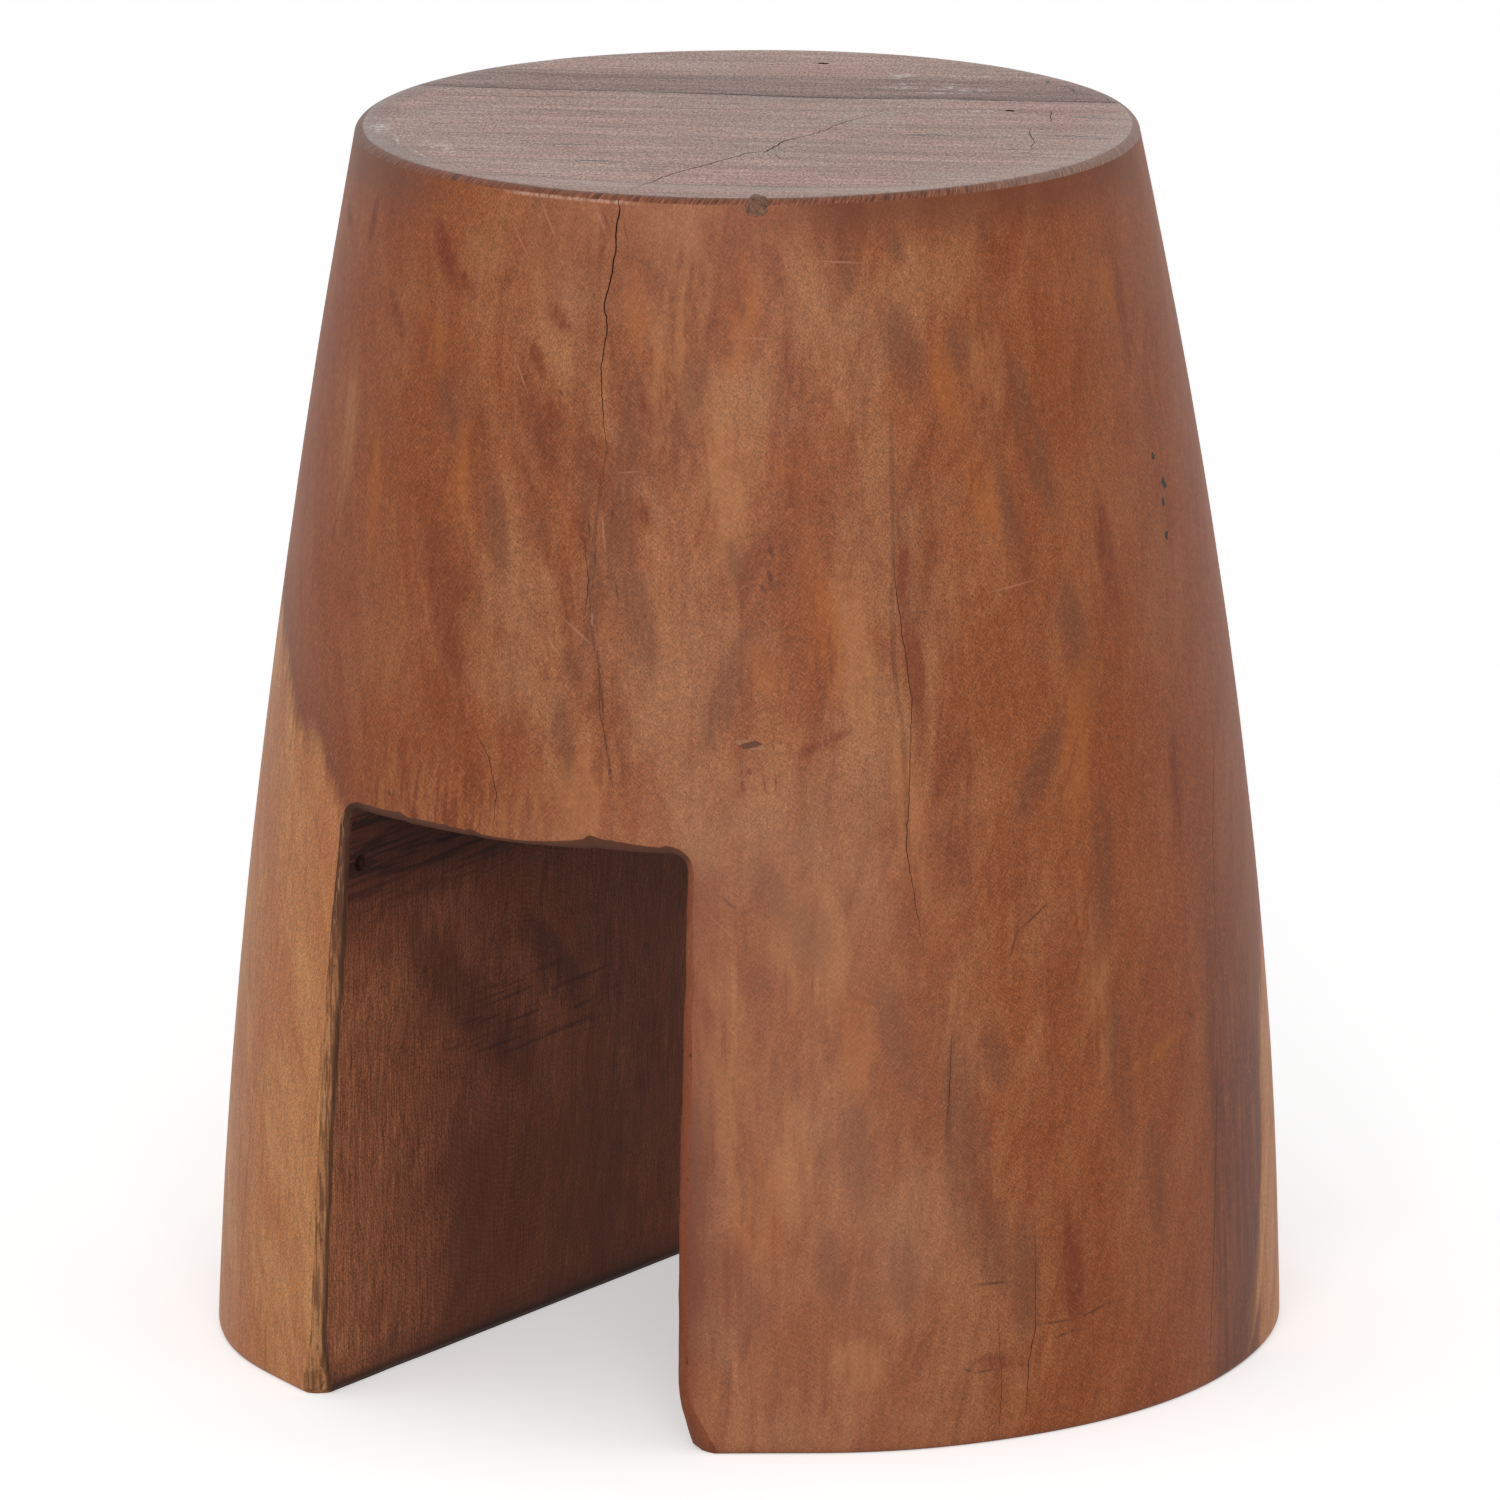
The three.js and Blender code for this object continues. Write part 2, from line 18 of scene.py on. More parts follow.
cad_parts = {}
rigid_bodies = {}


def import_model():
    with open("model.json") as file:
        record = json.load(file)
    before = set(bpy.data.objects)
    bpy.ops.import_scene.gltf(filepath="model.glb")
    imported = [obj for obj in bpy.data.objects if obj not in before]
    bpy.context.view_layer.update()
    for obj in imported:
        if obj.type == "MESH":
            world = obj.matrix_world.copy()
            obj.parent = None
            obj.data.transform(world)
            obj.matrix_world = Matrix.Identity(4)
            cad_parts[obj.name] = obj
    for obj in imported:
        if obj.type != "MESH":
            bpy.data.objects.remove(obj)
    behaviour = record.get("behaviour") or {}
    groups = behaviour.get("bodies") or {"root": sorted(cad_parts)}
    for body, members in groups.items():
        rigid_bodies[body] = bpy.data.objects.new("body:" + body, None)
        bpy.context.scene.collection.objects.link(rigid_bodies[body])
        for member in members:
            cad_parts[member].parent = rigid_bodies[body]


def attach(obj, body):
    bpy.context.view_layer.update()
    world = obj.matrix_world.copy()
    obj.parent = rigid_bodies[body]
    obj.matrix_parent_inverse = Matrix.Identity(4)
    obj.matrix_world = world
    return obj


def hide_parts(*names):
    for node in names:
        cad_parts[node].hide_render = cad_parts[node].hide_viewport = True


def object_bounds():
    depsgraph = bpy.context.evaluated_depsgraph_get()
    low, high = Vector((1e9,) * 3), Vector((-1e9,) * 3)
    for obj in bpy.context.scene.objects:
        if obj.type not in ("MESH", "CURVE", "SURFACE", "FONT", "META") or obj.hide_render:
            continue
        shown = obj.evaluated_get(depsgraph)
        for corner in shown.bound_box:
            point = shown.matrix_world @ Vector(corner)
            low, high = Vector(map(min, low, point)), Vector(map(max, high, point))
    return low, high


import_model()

bpy.context.view_layer.update()
cad_box = [list(map(float, corner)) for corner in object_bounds()]
print("CAD box in metres:", cad_box)

# %% [markdown]
# ## Sizes
# Blender works in metres, so every size is written in millimetres times MM. They repeat the
# sizes of the solids: a seat 450 mm high, 288 mm across, and 392 mm across at the floor.
# Angles go round the body in degrees: 0 at +X, which is the right leg, and -90 in front.

# %% Sizes of the body
MM = 0.001
SEAT_HEIGHT = 450 * MM
FLOOR_RADIUS = 196 * MM
SEAT_RADIUS = 144 * MM
FLARE_POWER = 1.7
BOW = 1.8 * MM
BOW_ANGLE = 33
RIM_ROUND = 4.5 * MM
RIM_DROP = 3 * MM
RIM_EXTRA = 1 * MM
RIM_WIDE_ANGLES = (8, -150, 100)
RIM_WIDE_SPREAD = 34
FOOT_BEVEL_DEPTH = 2 * MM
FOOT_BEVEL_HEIGHT = 3 * MM

# Waves in the outline: count round the body, phase in degrees, depth as a share of the radius
WAVES = ((2, 55, 0.0035), (3, -20, 0.003), (5, 10, 0.0015))

# Flats dressed into the flank: angle, spread, and depth at the floor and at the seat. A depth
# below zero is a fuller place.
FLATS = (
    (-56, 12, 0.026, 0.0),
    (14, 18, 0.01, 0.004),
    (36, 18, -0.01, 0.008),
    (-118, 9, 0.012, 0.0),
    (-147, 24, 0.008, 0.016),
    (128, 16, 0.008, 0.01),
)

# %% [markdown]
# ## One helper for every node
# Geometry and shader trees are both made of nodes, so one small function serves both. It sets
# the node's own properties, feeds its inputs in order, and gives back an output to link on.
# A node can have hidden inputs for other data types, so only the enabled ones are counted.

# %% Add a node
MATH = "ShaderNodeMath"
VECTOR = "ShaderNodeVectorMath"
NOISE = "ShaderNodeTexNoise"
MIX = "ShaderNodeMix"
RANGE = "ShaderNodeMapRange"
SPLIT = "ShaderNodeSeparateXYZ"
JOIN = "ShaderNodeCombineXYZ"


def add(tree, kind, settings=None, *values, out=0, **named):
    """Adds one node and returns its output number out, or the node itself if out is None.

    settings is a dict of the node's properties, or just its operation's name."""
    made = tree.nodes.new(kind)
    if isinstance(settings, str):
        settings = {"operation": settings}
    for name, value in (settings or {}).items():
        setattr(made, name, value)
    inputs = [socket for socket in made.inputs if socket.enabled]
    wanted = list(zip(inputs, values))
    for name, value in named.items():
        wanted.append((next(s for s in inputs if s.name.replace(" ", "_") == name), value))
    for socket, value in wanted:
        if isinstance(value, bpy.types.NodeSocket):
            tree.links.new(value, socket)
        elif value is not None:
            socket.default_value = value
    if out is None:
        return made
    return [socket for socket in made.outputs if socket.enabled][out]


# %% [markdown]
# ## Trees with named inputs
# A Geometry Nodes tree is a small program that makes a shape. Its named inputs are the sizes
# that a maker would change. A modifier's inputs are set by each socket's identifier, before
# the object is first evaluated, and the finished shape is turned into a plain mesh.

# %% Make a tree, and run it on an object
FLOAT = "NodeSocketFloat"
WHOLE = "NodeSocketInt"
OBJECT = "NodeSocketObject"
GEOMETRY = "NodeSocketGeometry"
bare_wood = bpy.data.materials.new("bare wood")


def new_tree(name, inputs, takes_geometry=False):
    """An empty tree, with the node that gives its inputs."""
    tree = bpy.data.node_groups.new(name, "GeometryNodeTree")
    tree.interface.new_socket("Geometry", in_out="OUTPUT", socket_type=GEOMETRY)
    if takes_geometry:
        tree.interface.new_socket("Geometry", in_out="INPUT", socket_type=GEOMETRY)
    for label, (kind, value) in inputs.items():
        socket = tree.interface.new_socket(label, in_out="INPUT", socket_type=kind)
        if value is not None:
            socket.default_value = value
    return tree, add(tree, "NodeGroupInput", out=None).outputs


def end_tree(tree, geometry):
    """Every tree ends in real, not instanced, geometry with one material."""
    real = add(tree, "GeometryNodeRealizeInstances", None, geometry)
    finish = add(tree, "GeometryNodeSetMaterial", None, real, Material=bare_wood)
    tree.links.new(finish, tree.nodes.new("NodeGroupOutput").inputs[0])


def put(name, data):
    """A new object in the scene."""
    made = bpy.data.objects.new(name, data)
    bpy.context.scene.collection.objects.link(made)
    return made


def plain_mesh(made):
    """Replaces an object by the plain mesh that its modifiers give."""
    bpy.context.view_layer.update()
    depsgraph = bpy.context.evaluated_depsgraph_get()
    mesh = bpy.data.meshes.new_from_object(made.evaluated_get(depsgraph))
    mesh.name = name = made.name
    bpy.data.objects.remove(made)
    return put(name, mesh)


def run_tree(name, tree, data=None, **values):
    """A new object that the tree makes, as a plain mesh."""
    made = put(name, data or bpy.data.meshes.new(name))
    modifier = made.modifiers.new(tree.name, "NODES")
    modifier.node_group = tree
    for socket in tree.interface.items_tree:
        label = socket.name.replace(" ", "_")
        if label in values:
            modifier[socket.identifier] = values[label]
    return plain_mesh(made)


# %% [markdown]
# ## The flared body
# The body follows a rule: its radius shrinks with height by a power law, and a hand-shaped
# outline adds shallow waves and flats. A cylinder could be sculpted by hand instead, but a
# rule keeps the body equal to the solids. The rule lives in its own group: angle and height
# go in, and a point of the flank comes out.

# %% The flank's rule as a node group
BODY_INPUTS = {
    "Seat height": (FLOAT, SEAT_HEIGHT),
    "Floor radius": (FLOAT, FLOOR_RADIUS),
    "Seat radius": (FLOAT, SEAT_RADIUS),
    "Flare power": (FLOAT, FLARE_POWER),
    "Bow": (FLOAT, BOW),
}


def bell(tree, angle, middle, spread):
    """1 at the middle angle, and falling to both sides in the shape of a bell."""
    away = add(tree, MATH, "WRAP", add(tree, MATH, "SUBTRACT", angle, middle), 180, -180)
    away = add(tree, MATH, "ABSOLUTE", add(tree, MATH, "DIVIDE", away, spread))
    away = add(tree, MATH, "MULTIPLY", add(tree, MATH, "POWER", away, 2), -1)
    return add(tree, MATH, "EXPONENT", away)


rule = bpy.data.node_groups.new("flank rule", "GeometryNodeTree")
rule.interface.new_socket("Point", in_out="OUTPUT", socket_type="NodeSocketVector")
for label in ("Angle", "Height", "Inset", "Level"):
    rule.interface.new_socket(label, in_out="INPUT", socket_type=FLOAT)
for label, (kind, value) in BODY_INPUTS.items():
    rule.interface.new_socket(label, in_out="INPUT", socket_type=kind).default_value = value
given = add(rule, "NodeGroupInput", out=None).outputs
angle = given["Angle"]
rise = add(rule, RANGE, None, given["Height"], 0, given["Seat height"])
flare = add(rule, MATH, "POWER", rise, given["Flare power"])
radius = add(rule, MIX, None, flare, given["Floor radius"], given["Seat radius"])
shape = 1
for count, phase, share in WAVES:
    turn = add(rule, MATH, "SUBTRACT", angle, phase)
    turn = add(rule, MATH, "MULTIPLY", turn, math.radians(count))
    shape = add(rule, MATH, "MULTIPLY_ADD", add(rule, MATH, "COSINE", turn), share, shape)
for middle, spread, floor_share, seat_share in FLATS:
    depth = add(rule, MIX, None, rise, floor_share, seat_share)
    cut = add(rule, MATH, "MULTIPLY", bell(rule, angle, middle, spread), depth)
    shape = add(rule, MATH, "SUBTRACT", shape, cut)
radius = add(rule, MATH, "MULTIPLY", radius, shape)
radius = add(rule, MATH, "SUBTRACT", radius, given["Inset"])
lean = add(rule, MATH, "SINE", add(rule, MATH, "MULTIPLY", rise, math.pi))
lean = add(rule, MATH, "MULTIPLY", lean, given["Bow"])
turn = add(rule, MATH, "RADIANS", angle)
sides = []
for operation, way in (("COSINE", math.cos), ("SINE", math.sin)):
    side = add(rule, MATH, "MULTIPLY", radius, add(rule, MATH, operation, turn))
    sides.append(add(rule, MATH, "MULTIPLY_ADD", lean, way(math.radians(BOW_ANGLE)), side))
point = add(rule, JOIN, None, *sides, given["Level"])
rule.links.new(point, rule.nodes.new("NodeGroupOutput").inputs[0])
print("flank rule:", len(rule.nodes), "nodes")

# %% [markdown]
# ### Five zones, one skin
# Each zone of the body is a flat grid that is rolled round the axis: the underside, the foot's
# bevel, the flank, the rim's rounding and the seat. On a grid, X becomes the angle and Y runs
# along the zone. Merging close vertices closes the seam and both poles.

# %% The body's tree
tree, given = new_tree(
    "flared trunk",
    {
        **BODY_INPUTS,
        "Rim round": (FLOAT, RIM_ROUND),
        "Rim drop": (FLOAT, RIM_DROP),
        "Rim extra": (FLOAT, RIM_EXTRA),
        "Foot bevel depth": (FLOAT, FOOT_BEVEL_DEPTH),
        "Foot bevel height": (FLOAT, FOOT_BEVEL_HEIGHT),
        "Sides": (WHOLE, 340),
        "Flank rows": (WHOLE, 140),
        "Unevenness": (FLOAT, 0.5 * MM),
        "Seed": (FLOAT, 4.0),
    },
)
seat_height, foot_height = given["Seat height"], given["Foot bevel height"]
place = add(tree, SPLIT, None, add(tree, "GeometryNodeInputPosition"), out=None).outputs
angle = add(tree, MATH, "MULTIPLY", add(tree, MATH, "ADD", place[0], 0.5), 360)
along = add(tree, MATH, "ADD", place[1], 0.5)
turn = add(tree, MATH, "MULTIPLY", along, math.pi / 2)
from_sine = add(tree, MATH, "SUBTRACT", 1, add(tree, MATH, "SINE", turn))
from_cosine = add(tree, MATH, "SUBTRACT", 1, add(tree, MATH, "COSINE", turn))
back_in = add(tree, MATH, "SUBTRACT", 1, along)

# The rim's rounding grows towards a few angles
growth = 0
for middle in RIM_WIDE_ANGLES:
    growth = add(tree, MATH, "MAXIMUM", growth, bell(tree, angle, middle, RIM_WIDE_SPREAD))
rim = add(tree, MATH, "MULTIPLY_ADD", growth, given["Rim extra"], given["Rim round"])
drop = add(tree, MATH, "DIVIDE", rim, given["Rim round"])
drop = add(tree, MATH, "MULTIPLY", given["Rim drop"], drop)
flank_top = add(tree, MATH, "SUBTRACT", seat_height, drop)
flank_level = add(tree, MIX, None, along, foot_height, flank_top)
rim_level = add(tree, MATH, "SUBTRACT", seat_height, add(tree, MATH, "MULTIPLY", drop, from_sine))
rim_inset = add(tree, MATH, "MULTIPLY", rim, from_cosine)
foot_level = add(tree, MATH, "MULTIPLY", foot_height, from_cosine)
foot_inset = add(tree, MATH, "MULTIPLY", given["Foot bevel depth"], from_sine)

# Zone: rows, height that sets its radius, inset, level, and share of the way out from the axis
zones = (
    (6, 0, given["Foot bevel depth"], 0, along),
    (4, foot_level, foot_inset, foot_level, 1),
    (given["Flank rows"], flank_level, 0, flank_level, 1),
    (8, flank_top, rim_inset, rim_level, 1),
    (36, flank_top, rim, seat_height, back_in),
)
skins = []
sides = add(tree, MATH, "ADD", given["Sides"], 1)
for rows, *feed, out_share in zones:
    grid = add(tree, "GeometryNodeMeshGrid", None, 1, 1, sides, add(tree, MATH, "ADD", rows, 1))
    feed = [angle, *feed, *[given[label] for label in BODY_INPUTS]]
    flank = add(tree, "GeometryNodeGroup", {"node_tree": rule}, *feed)
    spread = add(tree, JOIN, None, out_share, out_share, 1)
    point = add(tree, VECTOR, "MULTIPLY", flank, spread)
    skins.append(add(tree, "GeometryNodeSetPosition", None, grid, Position=point))
joined = add(tree, "GeometryNodeJoinGeometry", out=None)
for skin in reversed(skins):
    tree.links.new(skin, joined.inputs[0])
weld = 0.02 * MM
welded = add(tree, "GeometryNodeMergeByDistance", None, joined.outputs[0], Distance=weld)
print("body's tree:", len(tree.nodes), "nodes")

# %% [markdown]
# ### A skin that isn't true
# The whole skin is pushed in along its normal, by a soft noise of up to half a millimetre,
# because a hand-sanded surface is never true, and its highlights show that. The feet stay
# flat. Then the body is centred over the origin.

# %% Push the skin in, and centre the body
SOFTNESS = 16  # bumps of the unevenness on each metre
spot = add(tree, "GeometryNodeInputPosition")
seeded = add(tree, JOIN, None, given["Seed"], given["Seed"], 0)
soft = add(tree, NOISE, None, add(tree, VECTOR, "ADD", spot, seeded), SOFTNESS, 2, 0.45)
above = add(tree, RANGE, None, add(tree, SPLIT, None, spot, out=2), 2 * MM, 30 * MM)
push = add(tree, MATH, "MULTIPLY", add(tree, MATH, "MULTIPLY", soft, above), given["Unevenness"])
push = add(tree, MATH, "MULTIPLY", push, -1)
offset = add(tree, VECTOR, "SCALE", add(tree, "GeometryNodeInputNormal"), Scale=push)
uneven = add(tree, "GeometryNodeSetPosition", None, welded, Offset=offset)
box = add(tree, "GeometryNodeBoundBox", None, uneven, out=None).outputs
middle = add(tree, VECTOR, "SCALE", add(tree, VECTOR, "ADD", box["Min"], box["Max"]), Scale=-0.5)
middle = add(tree, VECTOR, "MULTIPLY", middle, (1, 1, 0))
end_tree(tree, add(tree, "GeometryNodeSetPosition", None, uneven, Offset=middle))

uncut = run_tree("uncut_body", tree)
corners = np.array([v.co for v in uncut.data.vertices])
print("uncut body:", len(uncut.data.polygons), "faces, box", corners.min(0), corners.max(0))

# %% [markdown]
# ## Finding the surface
# Everything that is cut into the body starts on its surface. A ray shot at the uncut skin gives
# that place exactly, whatever the rule above does to the outline, so nothing is measured twice.

# %% Rays onto the uncut body
skin = BVHTree.FromObject(uncut, bpy.context.evaluated_depsgraph_get())


def flank_y(x, z, side):
    """Where the flank stands at a sideways place and a height. side is -1 in front, 1 behind."""
    level = min(max(z, FOOT_BEVEL_HEIGHT + MM), SEAT_HEIGHT - MM)
    return skin.ray_cast(Vector((x, side, level)), Vector((0, -side, 0)))[0].y


def flank_at(angle, z):
    """A point of the flank at an angle in degrees, and the way out of the wood there."""
    out = Vector((math.cos(math.radians(angle)), math.sin(math.radians(angle)), 0))
    return skin.ray_cast(out + Vector((0, 0, z)), -out)[0], out


print("front of the flank at half height:", round(flank_y(0, SEAT_HEIGHT / 2, -1), 4))

# %% [markdown]
# ## The tunnel
# The tunnel is sawn straight through, and both its mouths have a hand-cut bevel. The bevel is
# thin along the ceiling and down the first part of the legs, then grows to a broad worn facet.
# A plain box would cut hard, machine-like edges. So the cutter is a skin through rings, as
# the ribs of a boat carry its planks: each ring follows the tunnel's outline, and the
# mouth's rings curve outwards until they pass the flank.

# %% Sizes of the tunnel
TUNNEL_HEIGHT = 218 * MM
TUNNEL_TOP_WIDTH = 141 * MM
TUNNEL_FLOOR_WIDTH = 148 * MM
TUNNEL_OFFSET = 7.5 * MM
TUNNEL_CORNER = 6 * MM
BEVEL = 3.2 * MM
SHOULDER_REACH = 60 * MM
WALL_FOOT_BEVEL = 1.5 * MM
FOOT_CUT_HEIGHT = 26 * MM
OVERRUN = 4 * MM
WALL_ROWS, CORNER_ROWS, CEILING_ROWS = 46, 6, 64

# How worn surfaces wander: height of the bumps, their size, and the noise's seed. On the
# upright arrises and on the back of the ceiling the height is a share of the bevel.
ARRIS_WEAR = ((0.16, 14 * MM, 0), (0.1, 5 * MM, 2))
CEILING_WEAR = (0.25, 12 * MM, 0)
CEILING_CHIPS = (0.35 * MM, 2.5 * MM, 3)
BEVEL_WOBBLE, CEILING_WOBBLE = 0.12 * MM, 0.25 * MM
WALL_WAVES = (0.3 * MM, 30 * MM, 8)
CEILING_ROUGHNESS = (0.35 * MM, 7 * MM, 9)

# Upright arrises by side and hand: full bevel, and the extra cut at the floor
ARRISES = {
    (-1, -1): (5 * MM, 4 * MM),
    (-1, 1): (5.5 * MM, 8 * MM),
    (1, -1): (6 * MM, 6 * MM),
    (1, 1): (7 * MM, 4 * MM),
}

# The front ceiling bevel is uneven: sideways place and size, with a nick where it jumps
FRONT_CEILING = (
    (-63, 3.4), (-40, 3.6), (-34, 4.2), (-31, 3.0), (-12, 3.0), (-3, 2.2), (-0.5, 3.4), (2, 1.9),
    (10, 1.3), (24, 1.6), (34, 2.6), (43, 3.8), (46, 6.2), (49, 4.6), (55, 4.2), (62, 3.2),
    (70, 2.6), (74, 4.4), (78, 3.6),
)


def lerp(a, b, share):
    return a + (b - a) * share


def ease(value, low, high):
    """0 below low and 1 above high, with a smooth step between."""
    share = min(max((value - low) / (high - low), 0), 1)
    return share * share * (3 - 2 * share)


def ripple(place, height, size, seed):
    """Soft noise of a height, up and down, whose bumps are about size across."""
    return height * noise.noise(Vector(place) / size + Vector((seed * 7.3, seed * 3.1, seed)))


# %% [markdown]
# ### The tunnel's outline
# The outline is a row of points up the left wall, along the ceiling and down the right wall.
# Each point knows which way is out of the tunnel, and how deep the bevel is there. Soft noise
# makes the bevel's size wander, as it does when a hand holds the tool.

# %% The tunnel's outline
def tunnel_outline(side):
    """Points from the foot of the left wall round to the right: x, z, way out, and bevel."""
    spring = TUNNEL_HEIGHT - TUNNEL_CORNER

    def half(z):
        return lerp(TUNNEL_FLOOR_WIDTH, TUNNEL_TOP_WIDTH, min(max(z / spring, 0), 1)) / 2

    def wall(hand):
        full, cut = ARRISES[side, hand]
        points = []
        for z in (-OVERRUN, 0, *np.linspace(2 * MM, spring, WALL_ROWS)):
            low = max(z, 0)
            size = lerp(full, BEVEL, ease(low, TUNNEL_HEIGHT - SHOULDER_REACH, TUNNEL_HEIGHT))
            size += cut * max(0, 1 - low / FOOT_CUT_HEIGHT)
            worn = 1 + sum(ripple((hand, side, z), *wave) for wave in ARRIS_WEAR)
            out = half(low) + (WALL_FOOT_BEVEL * max(0, 1 - z / (2 * MM)) if z < 2 * MM else 0)
            points.append((TUNNEL_OFFSET + hand * out, z, hand, 0, size * worn))
        return points

    def corner(hand):
        points = []
        for turn in np.linspace(0, math.pi / 2, CORNER_ROWS + 2)[1:-1]:
            x = TUNNEL_OFFSET + hand * (half(spring) - TUNNEL_CORNER * (1 - math.cos(turn)))
            z = spring + TUNNEL_CORNER * math.sin(turn)
            points.append((x, z, hand * math.cos(turn), math.sin(turn), BEVEL))
        return points

    reach = half(spring) - TUNNEL_CORNER
    ceiling = []
    for x in TUNNEL_OFFSET + np.linspace(-reach, reach, CEILING_ROWS):
        size = BEVEL * (1 + ripple((x, side, 0), *CEILING_WEAR))
        if side < 0:
            places, sizes = zip(*FRONT_CEILING)
            size = float(np.interp(x / MM, places, sizes)) * MM
        size += ripple((x, side, 0), *CEILING_CHIPS)
        ceiling.append((x, TUNNEL_HEIGHT, 0, 1, size))
    return wall(-1) + corner(-1) + ceiling + corner(1)[::-1] + wall(1)[::-1]


front_outline = tunnel_outline(-1)
print("tunnel outline:", len(front_outline), "points")

# %% [markdown]
# ### Mouths and walls of the tunnel
# The worn bevel is a curve from the inner wall to the flank, pulled a little towards the sharp
# corner that the saw left. A loft then lays a closed skin through any row of rings.

# %% Rings of a mouth, and a loft
FULLNESS = 0.4
BEVEL_STEPS = 5


def mouth_rings(side):
    """Rings from the inner edge of the bevel out past the flank."""
    rings = [[] for _ in range(BEVEL_STEPS + 3)]
    for x, z, out_x, out_z, size in tunnel_outline(side):
        corner = Vector((x, flank_y(x, z, side), z))
        inner = corner - Vector((0, side * size, 0))
        wide_x, wide_z = x + out_x * size, z + out_z * size
        outer = Vector((wide_x, flank_y(wide_x, wide_z, side), wide_z))
        pull = inner.lerp(outer, 0.5).lerp(corner, FULLNESS)
        rough = CEILING_WOBBLE if out_z > 0.5 else BEVEL_WOBBLE
        for step in range(BEVEL_STEPS + 1):
            share = step / BEVEL_STEPS
            place = inner.lerp(pull, share).lerp(pull.lerp(outer, share), share)
            wobble = rough * math.sin(math.pi * share)
            away = Vector([ripple(place, wobble, 3 * MM, seed) for seed in (5, 6, 7)])
            rings[step].append(place + away)
        past = outer + (outer - pull).normalized() * OVERRUN
        rings[BEVEL_STEPS + 1].append(past)
        clear = side * (FLOOR_RADIUS + 2 * OVERRUN)
        rings[BEVEL_STEPS + 2].append(Vector((past.x, clear, past.z)))
    return rings


def loft(name, rings):
    """A closed skin through rings of points, with a cap at both ends."""
    count = len(rings[0])
    points = [tuple(p) for one in rings for p in one]
    for one in (rings[0], rings[-1]):
        points.append(tuple(np.mean([tuple(p) for p in one], axis=0)))
    faces = []
    for k in range(len(rings) - 1):
        for j in range(count):
            nxt = (j + 1) % count
            a, b = k * count + j, k * count + nxt
            faces.append((a, b, b + count, a + count))
    first, last = len(points) - 2, len(points) - 1
    base = (len(rings) - 1) * count
    for j in range(count):
        nxt = (j + 1) % count
        faces.append((first, nxt, j))
        faces.append((last, base + j, base + nxt))
    mesh = bpy.data.meshes.new(name)
    mesh.from_pydata(points, [], faces)
    return put(name, mesh)


# %% [markdown]
# ### The tunnel's walls
# Between the mouths the rings follow straight lines. The walls get a shallow waviness, and the
# ceiling, which nobody sanded with care, a rougher one.

# %% The tunnel's cutter
WALL_STEPS = 46

front = mouth_rings(-1)
back = mouth_rings(1)
walls = []
for share in np.linspace(0, 1, WALL_STEPS + 2)[1:-1]:
    one = []
    for (x, z, out_x, out_z, size), a, b in zip(front_outline, front[0], back[0]):
        place = a.lerp(b, share)
        rough = ripple(place, *WALL_WAVES)
        if out_z > 0.5:
            rough += ripple(place, *CEILING_ROUGHNESS)
        near_mouth = min(share, 1 - share) * WALL_STEPS
        one.append(place + Vector((out_x, 0, out_z)) * rough * min(1, near_mouth / 2))
    walls.append(one)
tunnel = loft("tunnel_cutter", front[::-1] + walls + back)
print("tunnel cutter:", len(tunnel.data.polygons), "faces")

# %% [markdown]
# ## Carving with booleans
# A boolean takes one closed mesh away from another. The Manifold solver is fast and exact on
# closed meshes, so each cut is a modifier that is made real at once.

# %% Cut, and keep the common part
def carve(body, cutters, operation="DIFFERENCE"):
    for cutter in cutters:
        modifier = body.modifiers.new(cutter.name, "BOOLEAN")
        modifier.operation = operation
        modifier.solver = "MANIFOLD"
        modifier.object = cutter
    return plain_mesh(body)


# %% [markdown]
# ## Splits that follow the surface
# Drying wood splits along its grain. Each split here is a path drawn on the surface, and a tree
# turns the path into a thin wedge that is then carved out. First the tree makes the path's
# points dense and shakes them a little, so that no run is straight.

# %% The split's tree
SPLIT_STEP = 1.1 * MM
SPLIT_OVER = 1.5 * MM  # how far a wedge stands out of the wood
WEDGE_TIP = 0.15  # width at the bottom as a share of the width at the surface
NOISE_SPREAD = 4.0  # a noise leaves its middle by about a quarter

tree, given = new_tree(
    "split along the wood",
    {
        "Body": (OBJECT, None),
        "On seat": ("NodeSocketBool", False),
        "Width": (FLOAT, 0.7 * MM),
        "Depth": (FLOAT, 9 * MM),
        "Jag": (FLOAT, 0.5 * MM),
        "Jag size": (FLOAT, 4 * MM),
        "Seed": (FLOAT, 1.0),
    },
    takes_geometry=True,
)
path = add(
    tree, "GeometryNodeResampleCurve", {"mode": "LENGTH"}, given["Geometry"], Length=SPLIT_STEP
)
spot = add(tree, "GeometryNodeInputPosition")
seeded = add(tree, VECTOR, "SCALE", spot, Scale=add(tree, MATH, "DIVIDE", 1.0, given["Jag size"]))
seeded = add(tree, VECTOR, "ADD", seeded, add(tree, JOIN, None, given["Seed"], 0.0, given["Seed"]))
shake = add(tree, NOISE, None, seeded, 1.0, 3.0, 0.65, out=1)
shake = add(tree, VECTOR, "SUBTRACT", shake, (0.5, 0.5, 0.5))
jag = add(tree, MATH, "MULTIPLY", given["Jag"], NOISE_SPREAD)
shake = add(tree, VECTOR, "SCALE", shake, Scale=jag)
path = add(tree, "GeometryNodeSetPosition", None, path, Offset=shake)
print("path:", len(tree.nodes), "nodes")

# %% [markdown]
# ### From a path to a wedge
# The tree then drops the points onto the skin and sweeps a wedge along them. On the seat the
# wedge points down, and on the flank towards the axis. It stands a little out of the wood, so
# that the boolean cuts clean through the surface.

